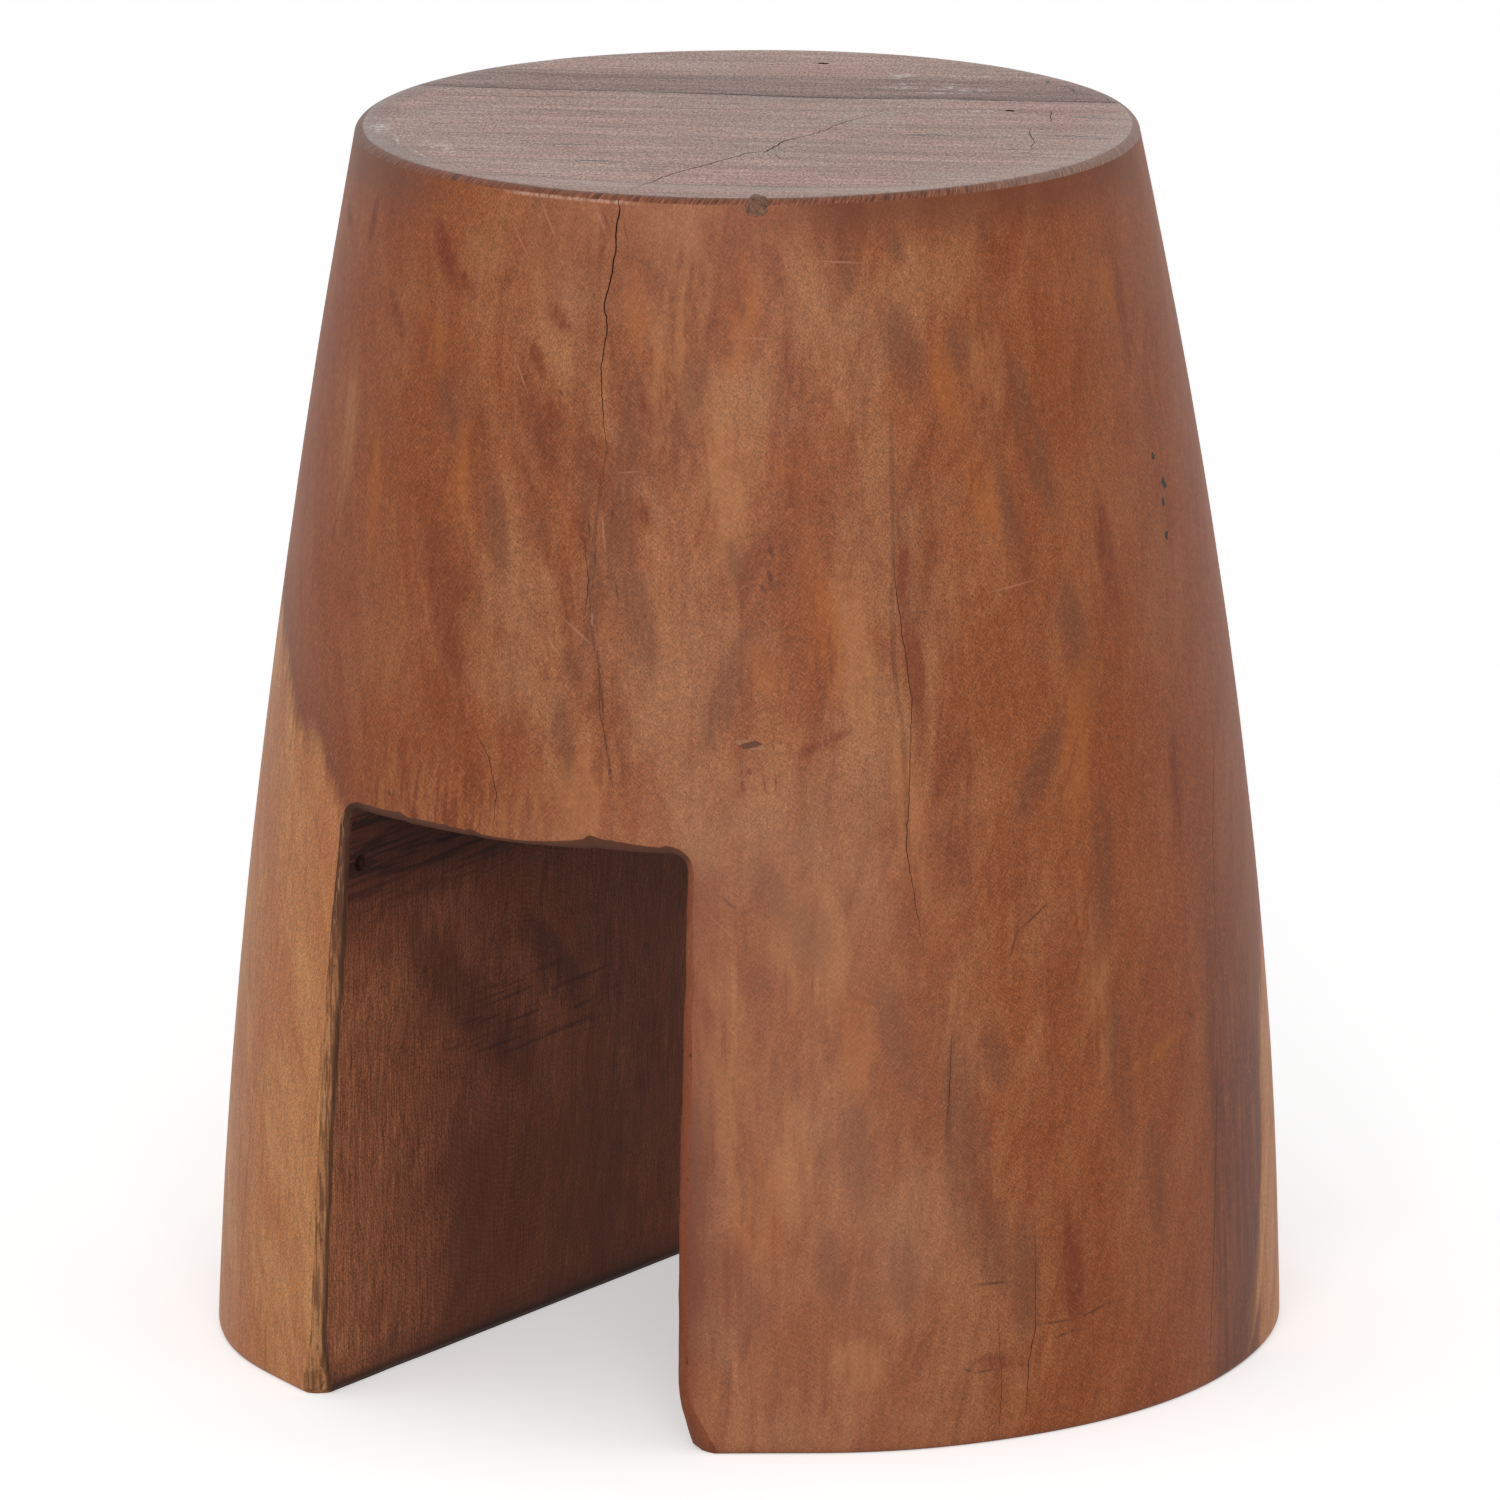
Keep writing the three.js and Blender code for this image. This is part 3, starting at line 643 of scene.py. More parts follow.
# %% The wedge along the path
body = add(tree, "GeometryNodeObjectInfo", {"transform_space": "RELATIVE"}, given["Body"], out=4)
nearest = add(tree, "GeometryNodeProximity", {"target_element": "FACES"}, body)
level = add(tree, VECTOR, "MULTIPLY", spot, (1.0, 1.0, 0.0))
level = add(tree, VECTOR, "ADD", level, (0.0, 0.0, SEAT_HEIGHT))
choose = {"input_type": "VECTOR"}
snapped = add(tree, "GeometryNodeSwitch", choose, given["On seat"], nearest, level)
path = add(tree, "GeometryNodeSetPosition", None, path, Position=snapped)
outward = add(tree, VECTOR, "NORMALIZE", add(tree, VECTOR, "MULTIPLY", spot, (1.0, 1.0, 0.0)))
facing = add(tree, "GeometryNodeSwitch", choose, given["On seat"], outward, (0.0, 0.0, 1.0))
path = add(tree, "GeometryNodeSetCurveNormal", {"mode": "FREE"}, path, Normal=facing)
half = add(tree, MATH, "MULTIPLY", given["Width"], 0.5)
share = add(tree, MATH, "ADD", given["Depth"], SPLIT_OVER)
share = add(tree, MATH, "DIVIDE", share, given["Depth"])
wide = add(tree, MATH, "MULTIPLY", half, share)
narrow = add(tree, MATH, "MULTIPLY", half, WEDGE_TIP)
deep = add(tree, MATH, "MULTIPLY", given["Depth"], -1.0)
corners = (
    add(tree, JOIN, None, SPLIT_OVER, wide, 0.0),
    add(tree, JOIN, None, SPLIT_OVER, add(tree, MATH, "MULTIPLY", wide, -1.0), 0.0),
    add(tree, JOIN, None, deep, add(tree, MATH, "MULTIPLY", narrow, -1.0), 0.0),
    add(tree, JOIN, None, deep, narrow, 0.0),
)
profile = add(tree, "GeometryNodeCurvePrimitiveQuadrilateral", {"mode": "POINTS"}, None, *corners)
opening = add(tree, "GeometryNodeInputRadius")
wedge = add(tree, "GeometryNodeCurveToMesh", None, path, profile, Scale=opening, Fill_Caps=True)
end_tree(tree, wedge)
split_tree = tree
print("split tree:", len(tree.nodes), "nodes")


# %% [markdown]
# ### Paths for the splits
# A path is the data of a curve, and the radius of each of its points says how far the split
# opens there. A wedge that is swept round a tight bend can have faces that look inwards, so
# all faces are turned out afterwards.

# %% Draw a path and sweep its wedge
def path_curve(name, runs):
    """A curve with one straight-sided spline for each run of (point, opening)."""
    data = bpy.data.curves.new(name, "CURVE")
    data.dimensions = "3D"
    for run in runs:
        spline = data.splines.new("POLY")
        spline.points.add(len(run) - 1)
        for made, (place, opening) in zip(spline.points, run):
            made.co = (*place, 1)
            made.radius = opening
    return data


def close_faces_out(made):
    """Turns every face of a closed mesh outwards."""
    work = bmesh.new()
    work.from_mesh(made.data)
    bmesh.ops.remove_doubles(work, verts=work.verts, dist=1e-7)
    bmesh.ops.recalc_face_normals(work, faces=work.faces)
    work.to_mesh(made.data)
    work.free()
    return made


def split(name, runs, on_seat, width, depth, jag, seed):
    made = run_tree(
        name, split_tree, path_curve(name, runs), Body=uncut, On_seat=on_seat,
        Width=width * MM, Depth=depth * MM, Jag=jag * MM, Seed=float(seed),
    )
    return close_faces_out(made)


def seat_run(*stops):
    """A run on the seat from stops of x, y and opening, in millimetres."""
    return [(Vector((x, y, SEAT_HEIGHT / MM)) * MM, opening) for x, y, opening in stops]


def flank_run(*stops):
    """A run on the flank from stops of angle, height in millimetres, and opening."""
    return [(flank_at(angle, z * MM)[0], opening) for angle, z, opening in stops]


# %% [markdown]
# ### The drying check and its hairlines
# The main check opens behind the middle of the seat, reaches the front rim and runs a fifth of
# the way down the flank. Finer splits follow the seat's growth rings, and hairlines run down
# the flank.

# %% Cut the splits
check_seat = split("check_on_seat", [seat_run(
    (29, 56, 0.15), (31, 37, 0.4), (30, 20, 0.8), (33, -9, 0.7), (31, -24, 0.9), (37, -45, 1.0),
    (33, -49, 0.7), (32, -72, 1.0), (31, -101, 0.9), (33, -114, 0.7), (34, -124, 0.4),
    (35, -133, 0.15),
)], True, 0.6, 8, 0.9, 3)
check_flank = split("check_on_flank", [flank_run(
    (-75.4, 448.2, 0.5), (-75.2, 443, 1.1), (-75.6, 437, 1.2), (-75.4, 430, 1.0),
    (-75.7, 424, 1.1), (-76.2, 416, 1.0), (-76.6, 411, 1.0), (-76, 403, 0.9), (-76.5, 389, 0.8),
    (-76.1, 378, 0.7), (-75.7, 368, 0.45), (-75.2, 361, 0.3), (-75.5, 350, 0.15),
)], False, 0.45, 7, 0.5, 8)
seat_splits = split("seat_splits", [
    seat_run(
        (-131, -6, 0.3), (-100, 8, 0.8), (-70, 22, 0.5), (-38, 37, 1.0), (0, 53, 0.7),
        (24, 66, 0.3),
    ),
    seat_run((35, 73, 0.5), (60, 86, 0.9), (88, 100, 0.7), (112, 111, 0.3)),
    seat_run((-124, -20, 0.3), (-100, -8, 0.5), (-75, 5, 0.2)),
    seat_run((77, 83, 0.1), (86, 70, 0.5), (92, 60, 0.4), (99, 54, 0.1)),
    seat_run((92, 47, 0.1), (100, 33, 0.5), (108, 24, 0.4), (114, 12, 0.3), (118, 4, 0.1)),
    seat_run((39, -44, 0.2), (46, -51, 0.4), (54, -57, 0.1)),
    seat_run((45, 131, 0.1), (52, 123, 0.3), (58, 117, 0.1)),
    seat_run((60, 122, 0.1), (67, 116, 0.3), (73, 109, 0.1)),
    seat_run((79, 114, 0.1), (87, 107, 0.3), (93, 99, 0.1)),
    seat_run((-36, -88, 0.2), (-12, -78, 0.5), (10, -66, 0.2)),
    seat_run((-2, -110, 0.2), (22, -98, 0.5), (40, -92, 0.2)),
    seat_run((96, 70, 0.2), (112, 77, 0.5), (124, 84, 0.2)),
    seat_run((112, 36, 0.2), (128, 44, 0.5)),
], True, 0.9, 2, 0.8, 5)
hairlines = split("hairlines", [
    flank_run((-74.9, 284, 0.2), (-74.7, 270, 0.6), (-73.6, 256, 0.5), (-72.4, 238, 0.2)),
    flank_run((-77.5, 328, 0.2), (-76.7, 314, 0.9), (-77, 300, 0.3)),
    flank_run(
        (-38.8, 322, 0.2), (-38.5, 307, 0.8), (-37.2, 272, 0.7), (-38.6, 219, 0.9),
        (-36.9, 179, 0.2),
    ),
    flank_run((-34, 152, 0.2), (-34.5, 133, 0.9), (-35, 115, 0.2)),
    flank_run((-90.5, 255, 0.2), (-88.5, 247, 0.8), (-87.2, 234, 0.9), (-87.5, 222, 0.4)),
    flank_run((-24.6, 78, 0.2), (-24.8, 41, 0.8), (-25.7, 28, 0.9), (-26.1, 9, 0.5)),
    flank_run((-29.4, 50, 0.2), (-29, 22, 0.6), (-29.3, 6, 0.3)),
    flank_run((15, 250, 0.2), (12.9, 225, 0.8), (10, 198, 0.7), (8.1, 155, 0.2)),
    flank_run((7, 131, 0.2), (4.9, 76, 0.9), (3.1, 19, 0.8), (2.8, 8, 0.4)),
    flank_run((-128, 112, 0.2), (-128.4, 66, 0.6), (-129, 20, 0.2)),
    flank_run((104, 430, 0.2), (103, 380, 0.9), (105, 330, 0.8), (104, 290, 0.2)),
    flank_run((158, 330, 0.2), (157, 250, 0.8), (159, 190, 0.7), (158, 130, 0.2)),
    flank_run((52, 300, 0.2), (53, 220, 0.7), (51, 150, 0.2)),
], False, 0.28, 1.2, 0.45, 6)
splits = [check_seat, check_flank, seat_splits, hairlines]
for one in splits:
    print(one.name, len(one.data.polygons), "faces")

# %% [markdown]
# ### Slits in the end grain
# End grain is a field of cut pores. The widest have torn into short slits that lie along the
# growth rings. They repeat, so a tree scatters them: points fall on a disc as large as the
# seat, never closer than a few millimetres, and each gets a small lens of its own length.

# %% The slits' tree
RING_SLOPE = 27  # degrees from +X at which the seat's figure runs
RARELY_LONG = 2.5  # the higher, the fewer slits are long
SHORTEST = 0.08  # half the shortest slit, as a share of the longest

tree, given = new_tree(
    "slits in the end grain",
    {
        "Seat radius": (FLOAT, SEAT_RADIUS),
        "Spacing": (FLOAT, 17 * MM),
        "Count per square metre": (FLOAT, 420.0),
        "Longest": (FLOAT, 9 * MM),
        "Width": (FLOAT, 0.3 * MM),
        "Depth": (FLOAT, 1.2 * MM),
        "Slope": (FLOAT, math.radians(RING_SLOPE)),
        "Seed": (WHOLE, 11),
    },
)
inner = add(tree, MATH, "MULTIPLY", given["Seat radius"], 0.9)
disc = add(tree, "GeometryNodeMeshCircle", {"fill_type": "NGON"}, 48, inner)
scatter = add(
    tree, "GeometryNodeDistributePointsOnFaces", {"distribute_method": "POISSON"}, disc,
    Distance_Min=given["Spacing"], Density_Max=given["Count per square metre"], Seed=given["Seed"],
)
lens = add(tree, "GeometryNodeMeshUVSphere", None, 10, 6, 1.0)
chance = add(tree, "FunctionNodeRandomValue", {"data_type": "FLOAT"}, 0.0, 1.0, Seed=given["Seed"])
chance = add(tree, MATH, "POWER", chance, RARELY_LONG)
length = add(tree, RANGE, None, chance, 0.0, 1.0, SHORTEST, 0.5)
length = add(tree, MATH, "MULTIPLY", given["Longest"], length)
size = add(tree, JOIN, None, length, given["Width"], given["Depth"])
sway = add(tree, "FunctionNodeRandomValue", {"data_type": "FLOAT"}, -0.12, 0.12, Seed=5)
turned = add(tree, JOIN, None, 0.0, 0.0, add(tree, MATH, "ADD", given["Slope"], sway))
turned = add(tree, "FunctionNodeEulerToRotation", None, turned)
slits = add(
    tree, "GeometryNodeInstanceOnPoints", None, scatter, Instance=lens, Rotation=turned, Scale=size
)
raised = add(tree, "GeometryNodeTransform", None, slits, Translation=(0.0, 0.0, SEAT_HEIGHT))
end_tree(tree, raised)
slits = close_faces_out(run_tree("seat_slits", tree))
print("slits:", len(slits.data.polygons), "faces")

# %% [markdown]
# ## Flaws that are filled or open
# Worm holes, pits, a bark pocket and a knot are all pockets with an irregular mouth. One
# function makes such a peg, and another takes the common part of peg and body, so that the
# filled ones end flush with the wood.

# %% Pegs with an irregular outline
def blob(rough, seed):
    """An uneven round outline, in shares of half the width and half the height."""

    def edge(a, b, step):
        size = 1 + rough * noise.noise(Vector((2 * a, 2 * b, 5.7 * seed)))
        return a * size, b * size

    return edge


def eye(a, b, step):
    """An outline that is pointed at both ends."""
    return a, b * abs(b) ** 0.45 + 0.24 * noise.noise(Vector((2.5 * a, step, 3)))


def peg(name, mouth, out, wide, tall, depth, edge, tilt=0, sides=28, narrow=0.7, waist=0.93):
    """A peg into the wood. wide runs level, and tall runs up or back.

    narrow and waist are its end's and its middle's share of them. A waist of 0 is left out."""
    level = Vector((0, 0, 1)).cross(out)
    level = level.normalized() if level.length > 0.1 else Vector((1, 0, 0))
    up = out.cross(level)
    cos, sin = math.cos(math.radians(tilt)), math.sin(math.radians(tilt))
    rings = []
    for along, share in ((OVERRUN, 1), (0, 1), (-0.5 * depth, waist), (-depth, narrow)):
        if not share:
            continue
        one = []
        for step in range(sides):
            turn = 2 * math.pi * step / sides
            a, b = edge(math.cos(turn), math.sin(turn), step)
            a, b = share * a * wide / 2, share * b * tall / 2
            a, b = a * cos - b * sin, a * sin + b * cos
            one.append(mouth + out * along + level * a + up * b)
        rings.append(one)
    return close_faces_out(loft(name, rings))


# %% [markdown]
# ### Where the flaws are
# Two open holes lie in the seat, and one lies high in the tunnel's left wall. The pits sit in a
# column on the right flank. Each filled flaw is made twice: as a pocket to carve out, and a
# hair smaller as the piece that fills it.

# %% The holes and the pockets
UP, RIGHT = Vector((0, 0, 1)), Vector((1, 0, 0))
CLOSE_FIT = 0.06 * MM
WALL_HOLE_DROP = 22 * MM
WALL_HOLE_INSET = 11 * MM
KNOT_PLACE = (-55.6, 447)  # angle, height
BARK_PLACE = (-56.5, 257.6)

# Name, angle, height, width, height of the mouth, depth, roughness of the outline, tilt
PITS = (
    ("pit_resin_1", 6.4, 341.1, 2.6, 2.6, 4, 0.5, 20),
    ("pit_resin_2", 8.4, 330.3, 4.6, 2.8, 4, 0.7, -50),
    ("pit_resin_3", 7.4, 323.8, 2.4, 3.6, 4, 0.5, 0),
    ("pit_resin_4", 7.0, 312.0, 2.6, 2.9, 4, 0.6, 30),
)

wall_x = TUNNEL_OFFSET - TUNNEL_TOP_WIDTH / 2
wall_z = TUNNEL_HEIGHT - WALL_HOLE_DROP
wall_mouth = Vector((wall_x, flank_y(wall_x, wall_z, -1) + WALL_HOLE_INSET, wall_z))
holes = []
for name, mouth, out, *sizes, edge, tilt in (
    ("seat_hole_left", Vector((-37.8, 107.9, 450)) * MM, UP, 4.6, 2.8, 9, blob(0.3, 2), 20),
    ("seat_hole_right", Vector((68.9, 68.8, 450)) * MM, UP, 3.8, 2.6, 9, blob(0.35, 3), 10),
    ("wall_hole", wall_mouth, RIGHT, 6.5, 6.2, 8, blob(0.12, 4), 0),
):
    holes.append(peg(name, mouth, out, *[size * MM for size in sizes], edge, tilt))

pockets, inlays = [], {}


def inlay(name, angle, z, wide, tall, depth, *more):
    """The pocket for an inlaid piece, and the piece itself, flush with the flank."""
    mouth, out = flank_at(angle, z * MM)
    wide, tall, depth = wide * MM, tall * MM, depth * MM
    pockets.append(peg(name + "_pocket", mouth, out, wide, tall, depth, *more))
    gap = CLOSE_FIT
    piece = peg(name, mouth, out, wide - 2 * gap, tall - 2 * gap, depth - gap, *more)
    inlays[name] = carve(piece, [uncut], "INTERSECT")


for number, (name, angle, z, wide, tall, depth, rough, tilt) in enumerate(PITS):
    inlay(name, angle, z, wide, tall, depth, blob(rough, number + 5), tilt, 20, 0.5)
inlay("rim_knot_wood", *KNOT_PLACE, 9, 6.4, 9, blob(0.25, 12), 5, 40, 0.8)
inlay("bark_lens", *BARK_PLACE, 12.5, 3.6, 3.5, eye, -12, 32, 0.6, 0)
print("pockets:", [one.name for one in pockets])

# %% [markdown]
# ### The filled stretch of the check
# Below its open part the check was filled and sanded flush. The filler is a strip of its own,
# swept by the same tree as the splits, and its pocket is a strip a hair wider.

# %% Cut the filler and carve the trunk
FILL_STOPS = (
    (-75.9, 340.6, 0.5), (-76.2, 331, 0.9), (-76.4, 317, 1), (-76.2, 306, 0.8), (-75.8, 295, 0.5)
)
pockets.append(split("check_filler_pocket", [flank_run(*FILL_STOPS)], False, 1.6, 3, 0.4, 9))
filler = split("check_filler", [flank_run(*FILL_STOPS)], False, 1.5, 2.9, 0.4, 9)
inlays["check_filler"] = carve(filler, [uncut], "INTERSECT")

whole = put("trunk", uncut.data.copy())
trunk = carve(whole, [tunnel, *splits, slits, *holes, *pockets])
corners = np.array([v.co for v in trunk.data.vertices])
corners = np.clip(corners, cad_box[0], cad_box[1])
trunk.data.vertices.foreach_set("co", corners.ravel())
trunk.data.update()
print("trunk:", len(trunk.data.polygons), "faces, box", corners.min(0), corners.max(0))

# %% [markdown]
# ## Which face shows which surface
# One block of wood shows several surfaces: the oiled flank along the grain, the end grain of
# the seat, sawn walls in the tunnel, its rough ceiling, the worn bevels of both mouths, raw wood
# inside each split, and the undersides of the feet. Each gets its own material slot. A face
# belongs to the skin or to the tunnel if it lies on it, and its direction does the rest.

# %% Sort the faces
SURFACES = ("flank", "seat", "rim", "wall", "ceiling", "bevel", "split", "foot")
ON_IT = 0.03 * MM
NEAR_TUNNEL = 0.25 * MM  # its quads are bent, and may be split along either diagonal
CLOSE_TO_TOP = 2 * MM

# Parts of a face's normal that tell the surfaces apart
DOWNWARD, LEVEL, TILTED_UP, OVERHEAD, TILTED_OUT = -0.9, 0.97, 0.22, -0.7, 0.12


def sort_faces(made):
    """Gives each face the number of its surface in SURFACES."""
    cut = BVHTree.FromObject(tunnel, bpy.context.evaluated_depsgraph_get())
    numbers = []
    for face in made.data.polygons:
        middle, way = face.center, face.normal
        if skin.find_nearest(middle)[3] < ON_IT:
            if way.z < DOWNWARD and middle.z < MM:
                numbers.append("foot")
            elif way.z > LEVEL and middle.z > SEAT_HEIGHT - CLOSE_TO_TOP:
                numbers.append("seat")
            elif way.z > TILTED_UP and middle.z > SEAT_HEIGHT - RIM_DROP - CLOSE_TO_TOP:
                numbers.append("rim")
            else:
                numbers.append("flank")
        elif cut.find_nearest(middle)[3] < NEAR_TUNNEL:
            if abs(way.y) > TILTED_OUT:
                numbers.append("bevel")
            elif way.z < OVERHEAD:
                numbers.append("ceiling")
            else:
                numbers.append("wall")
        else:
            numbers.append("split")
    made.data.polygons.foreach_set("material_index", [SURFACES.index(n) for n in numbers])
    return {name: numbers.count(name) for name in SURFACES}


print("surfaces of the trunk:", SURFACES)

# %% [markdown]
# ### Smooth skin, crisp cuts
# Faces are shaded smooth, except across edges that turn by more than 32 degrees. So the body
# looks round and the cuts stay crisp.

# %% Shade the meshes
CRISP = math.radians(32)
for one in [trunk, *inlays.values()]:
    one.data.shade_smooth()
    one.data.set_sharp_from_angle(angle=CRISP)
print("shaded:", 1 + len(inlays), "pieces")

# %% [markdown]
# ## Colours
# Colours are written as the hex codes that a picture editor shows. A shader needs linear
# values, so one function turns them.

# %% From hex to linear
def srgb(code):
    parts = [int(code[i : i + 2], 16) / 255 for i in (0, 2, 4)]
    return (*[c / 12.92 if c <= 0.04045 else ((c + 0.055) / 1.055) ** 2.4 for c in parts], 1.0)


# %% [markdown]
# ## One coat over another
# Each surface is built up like a real finish: bare wood first, then coat after coat of stain,
# wear and dirt. A coat shows only where its mask is 1. Most masks are a product of a place on
# the stool, with soft ends, and of a pattern in the wood, which makes the coat ragged.

# %% Colours that take coats
RGBA = {"data_type": "RGBA"}
SMOOTH = {"interpolation_type": "SMOOTHSTEP"}
INVERSE = {"vector_type": "TEXTURE"}
FLAT = {"noise_dimensions": "2D"}
PLACES = ("x", "y", "z", "Angle", "Reach", "Behind line", "Ridge")
LOW, HIGH = 0.3, 0.7  # nearly all values of a noise lie between these


class Coats:
    """A colour in a shader tree that takes coats, and the fields that its masks are made of."""

    def __init__(self, tree, fields):
        self.tree, self.fields = tree, fields
        self.colour = fields.get("Wood")

    def mask(self, *parts, **ranges):
        """The product of masks and ranges.

        A place such as z=(10, 20) rises softly from its first value to its second, and with
        four values it falls again. A pattern such as Fibre=(0.4, 0.6) rises in a straight line,
        from 0 to 1 or from its third value to its fourth."""
        parts = list(parts)
        for name, stops in ranges.items():
            name = name.replace("_", " ")
            if name in PLACES:
                for a, b in (stops[:2], stops[:1:-1])[: len(stops) // 2]:
                    parts.append(add(self.tree, RANGE, SMOOTH, self.fields[name], a, b))
            else:
                parts.append(add(self.tree, RANGE, None, self.fields[name], *stops))
        product = parts[0]
        for part in parts[1:]:
            product = add(self.tree, MATH, "MULTIPLY", product, part)
        return product

    def base(self, low, high, **ranges):
        """The first coat, which runs from one colour to another."""
        share = self.mask(**ranges)
        self.colour = add(self.tree, MIX, RGBA, share, srgb(low), srgb(high))

    def coat(self, code, strength, *parts, **ranges):
        """Moves the colour towards another one where the mask is."""
        share = add(self.tree, MATH, "MULTIPLY", self.mask(*parts, **ranges), strength)
        self.colour = add(self.tree, MIX, RGBA, share, self.colour, srgb(code))

    def tone(self, *parts, **ranges):
        """Lightens and darkens the colour."""
        factor = self.mask(*parts, **ranges)
        self.colour = add(self.tree, VECTOR, "SCALE", self.colour, Scale=factor)

    def patterns(self, place, table, tilt=0, settings=None):
        """Adds noise fields. The table gives their sizes in millimetres, detail and roughness."""
        if tilt:
            turn = (0, 0, math.radians(tilt))
            place = add(self.tree, "ShaderNodeMapping", INVERSE, place, Rotation=turn)
        for name, (size, detail, roughness) in table.items():
            shrunk = add(self.tree, VECTOR, "DIVIDE", place, size)
            self.fields[name] = add(self.tree, NOISE, settings, shrunk, 1, detail, roughness)
        return place

    def finish(self, ior, rough, bump, depth, *heights):
        """Links the shader. The bump is the sum of the heights, depth millimetres high."""
        self.shader.inputs["IOR"].default_value = ior
        height = 0
        for part in heights:
            height = add(self.tree, MATH, "ADD", self.fields.get(part, part), height)
        normal = add(self.tree, "ShaderNodeBump", None, bump, depth * MM, Height=height)
        links = {"Base Color": self.colour, "Normal": normal, "Roughness": rough}
        for name, value in links.items():
            if isinstance(value, bpy.types.NodeSocket):
                self.tree.links.new(value, self.shader.inputs[name])
            else:
                self.shader.inputs[name].default_value = value
        print(self.material.name + ":", len(self.tree.nodes), "nodes")


# %% [markdown]
# ## The figure of the trunk
# All surfaces of the block cut through the same wood, so one node group gives them all the same
# three-dimensional pattern. It works in millimetres, and also gives the places that the marks
# need: the angle, the distance from the axis, and the flank unrolled to a plane.

# %% Places in the wood
MEAN_RADIUS = 170  # millimetres
ARC = MEAN_RADIUS * math.radians(1)  # millimetres along the flank for one degree

figure = tree = bpy.data.node_groups.new("trunk figure", "ShaderNodeTree")
place = add(tree, VECTOR, "SCALE", add(tree, "ShaderNodeTexCoord", out=3), Scale=1000)
x, y, z = add(tree, SPLIT, None, place, out=None).outputs
turn = add(tree, MATH, "ARCTAN2", y, x)
angle = add(tree, MATH, "DEGREES", turn)
reach = add(tree, VECTOR, "LENGTH", add(tree, VECTOR, "MULTIPLY", place, (1, 1, 0)))
fields = {"x": x, "y": y, "z": z, "Place": place, "Angle": angle, "Reach": reach}
fields["Unrolled"] = add(tree, JOIN, None, add(tree, MATH, "MULTIPLY", angle, ARC), z, 0)
print("places:", list(fields))

# %% [markdown]
# ### Heartwood
# Soft blotches run up the flank and lean towards its front middle, as the ribs of a fan do. A
# fan of straight lines can be had in closed form: half of each angle is put through its tangent
# and squeezed with height. The wood is dark and light along the blotches, pulled to red or grey
# by wide clouds, and more orange towards both sides. Finer ribbons and fibres run upright, and
# a fuzz of torn fibre ends lies over all.

# %% Blotches that lean like a fan, and the heartwood's colour
FAN_MIDDLE = -62  # degrees
FAN_LEAN = 0.45  # sideways run of a flame for each unit of height, at most
FAN_LEVEL = 225  # millimetres, the height at which the fan isn't squeezed
FLAME_WIDTH, FLAME_LENGTH = 13, 48  # millimetres

# Width, width and length in millimetres of each pattern, then detail and roughness. Real torn
# fibre ends are about 0.1 mm, too fine to show, so the fuzz is drawn as coarse as is needed.
PATTERNS = {
    "Cloud": ((46, 46, 70), 4, 0.6),
    "Ribbon": ((2.8, 2.8, 42), 3, 0.6),
    "Fibre": ((0.8, 0.8, 11), 2, 0.6),
    "Fuzz": ((0.55, 0.55, 0.75), 1, 0.6),
}

lean = add(tree, MATH, "SUBTRACT", turn, math.radians(FAN_MIDDLE))
lean = add(tree, MATH, "MULTIPLY", add(tree, MATH, "WRAP", lean, math.pi, -math.pi), 0.5)
squeeze = add(tree, MATH, "SUBTRACT", FAN_LEVEL, z)
squeeze = add(tree, MATH, "EXPONENT", add(tree, MATH, "MULTIPLY", squeeze, FAN_LEAN / MEAN_RADIUS))
squeezed = add(tree, MATH, "MULTIPLY", add(tree, MATH, "SINE", lean), squeeze)
lean = add(tree, MATH, "ARCTAN2", squeezed, add(tree, MATH, "COSINE", lean))
lean = add(tree, MATH, "MULTIPLY", lean, 2)
flame = add(tree, JOIN, None, add(tree, MATH, "COSINE", lean), add(tree, MATH, "SINE", lean), z)
stretch = (MEAN_RADIUS / FLAME_WIDTH, MEAN_RADIUS / FLAME_WIDTH, 1 / FLAME_LENGTH)
flame = add(tree, VECTOR, "MULTIPLY", flame, stretch)
fields["Flame"] = flame = add(tree, NOISE, None, flame, 1, 4, 0.6, 2, 0.7)

wood = Coats(tree, fields)
wood.patterns(place, PATTERNS)
wood.base("7c4227", "935737", Flame=(0.34, 0.5))
wood.coat("a36944", 1, Flame=(0.5, 0.68))
wood.coat("884623", 0.7, Cloud=(0.5, 0.66))
wood.coat("a4714f", 0.6, Cloud=(0.5, 0.34))
aside = add(tree, MATH, "ABSOLUTE", add(tree, MATH, "SUBTRACT", angle, FAN_MIDDLE))
wood.coat("8f4923", 0.6, add(tree, RANGE, SMOOTH, aside, 16, 56))
print("heartwood:", len(tree.nodes), "nodes")

# %% [markdown]
# ### Sapwood
# Outside the brown heartwood lies pale sapwood, which shows where the flank flares out. It
# starts where the wood is further from the axis than a curve that depends on the angle. At
# last, ribbons, fibres and fuzz lighten and darken both.

# %% The sapwood's colour, and the group's outputs
REACH_SCALE = 250  # millimetres that stand for 1 on the sapwood's curve

# Angle, and the height on the flank below which the sapwood shows; below 0 it never does
SAPWOOD_TOP = (
    (-180, 300), (-158, 296), (-144, 275), (-136, 268), (-131, 256), (-125, 240), (-119, 236),
    (-116, 229), (-111, 212), (-106, 130), (-98, 20), (-90, -60), (0, -60), (12, -10), (18, 30),
    (22, 110), (30, 150), (50, 185), (80, 235), (110, 215), (140, 260), (180, 300),
)

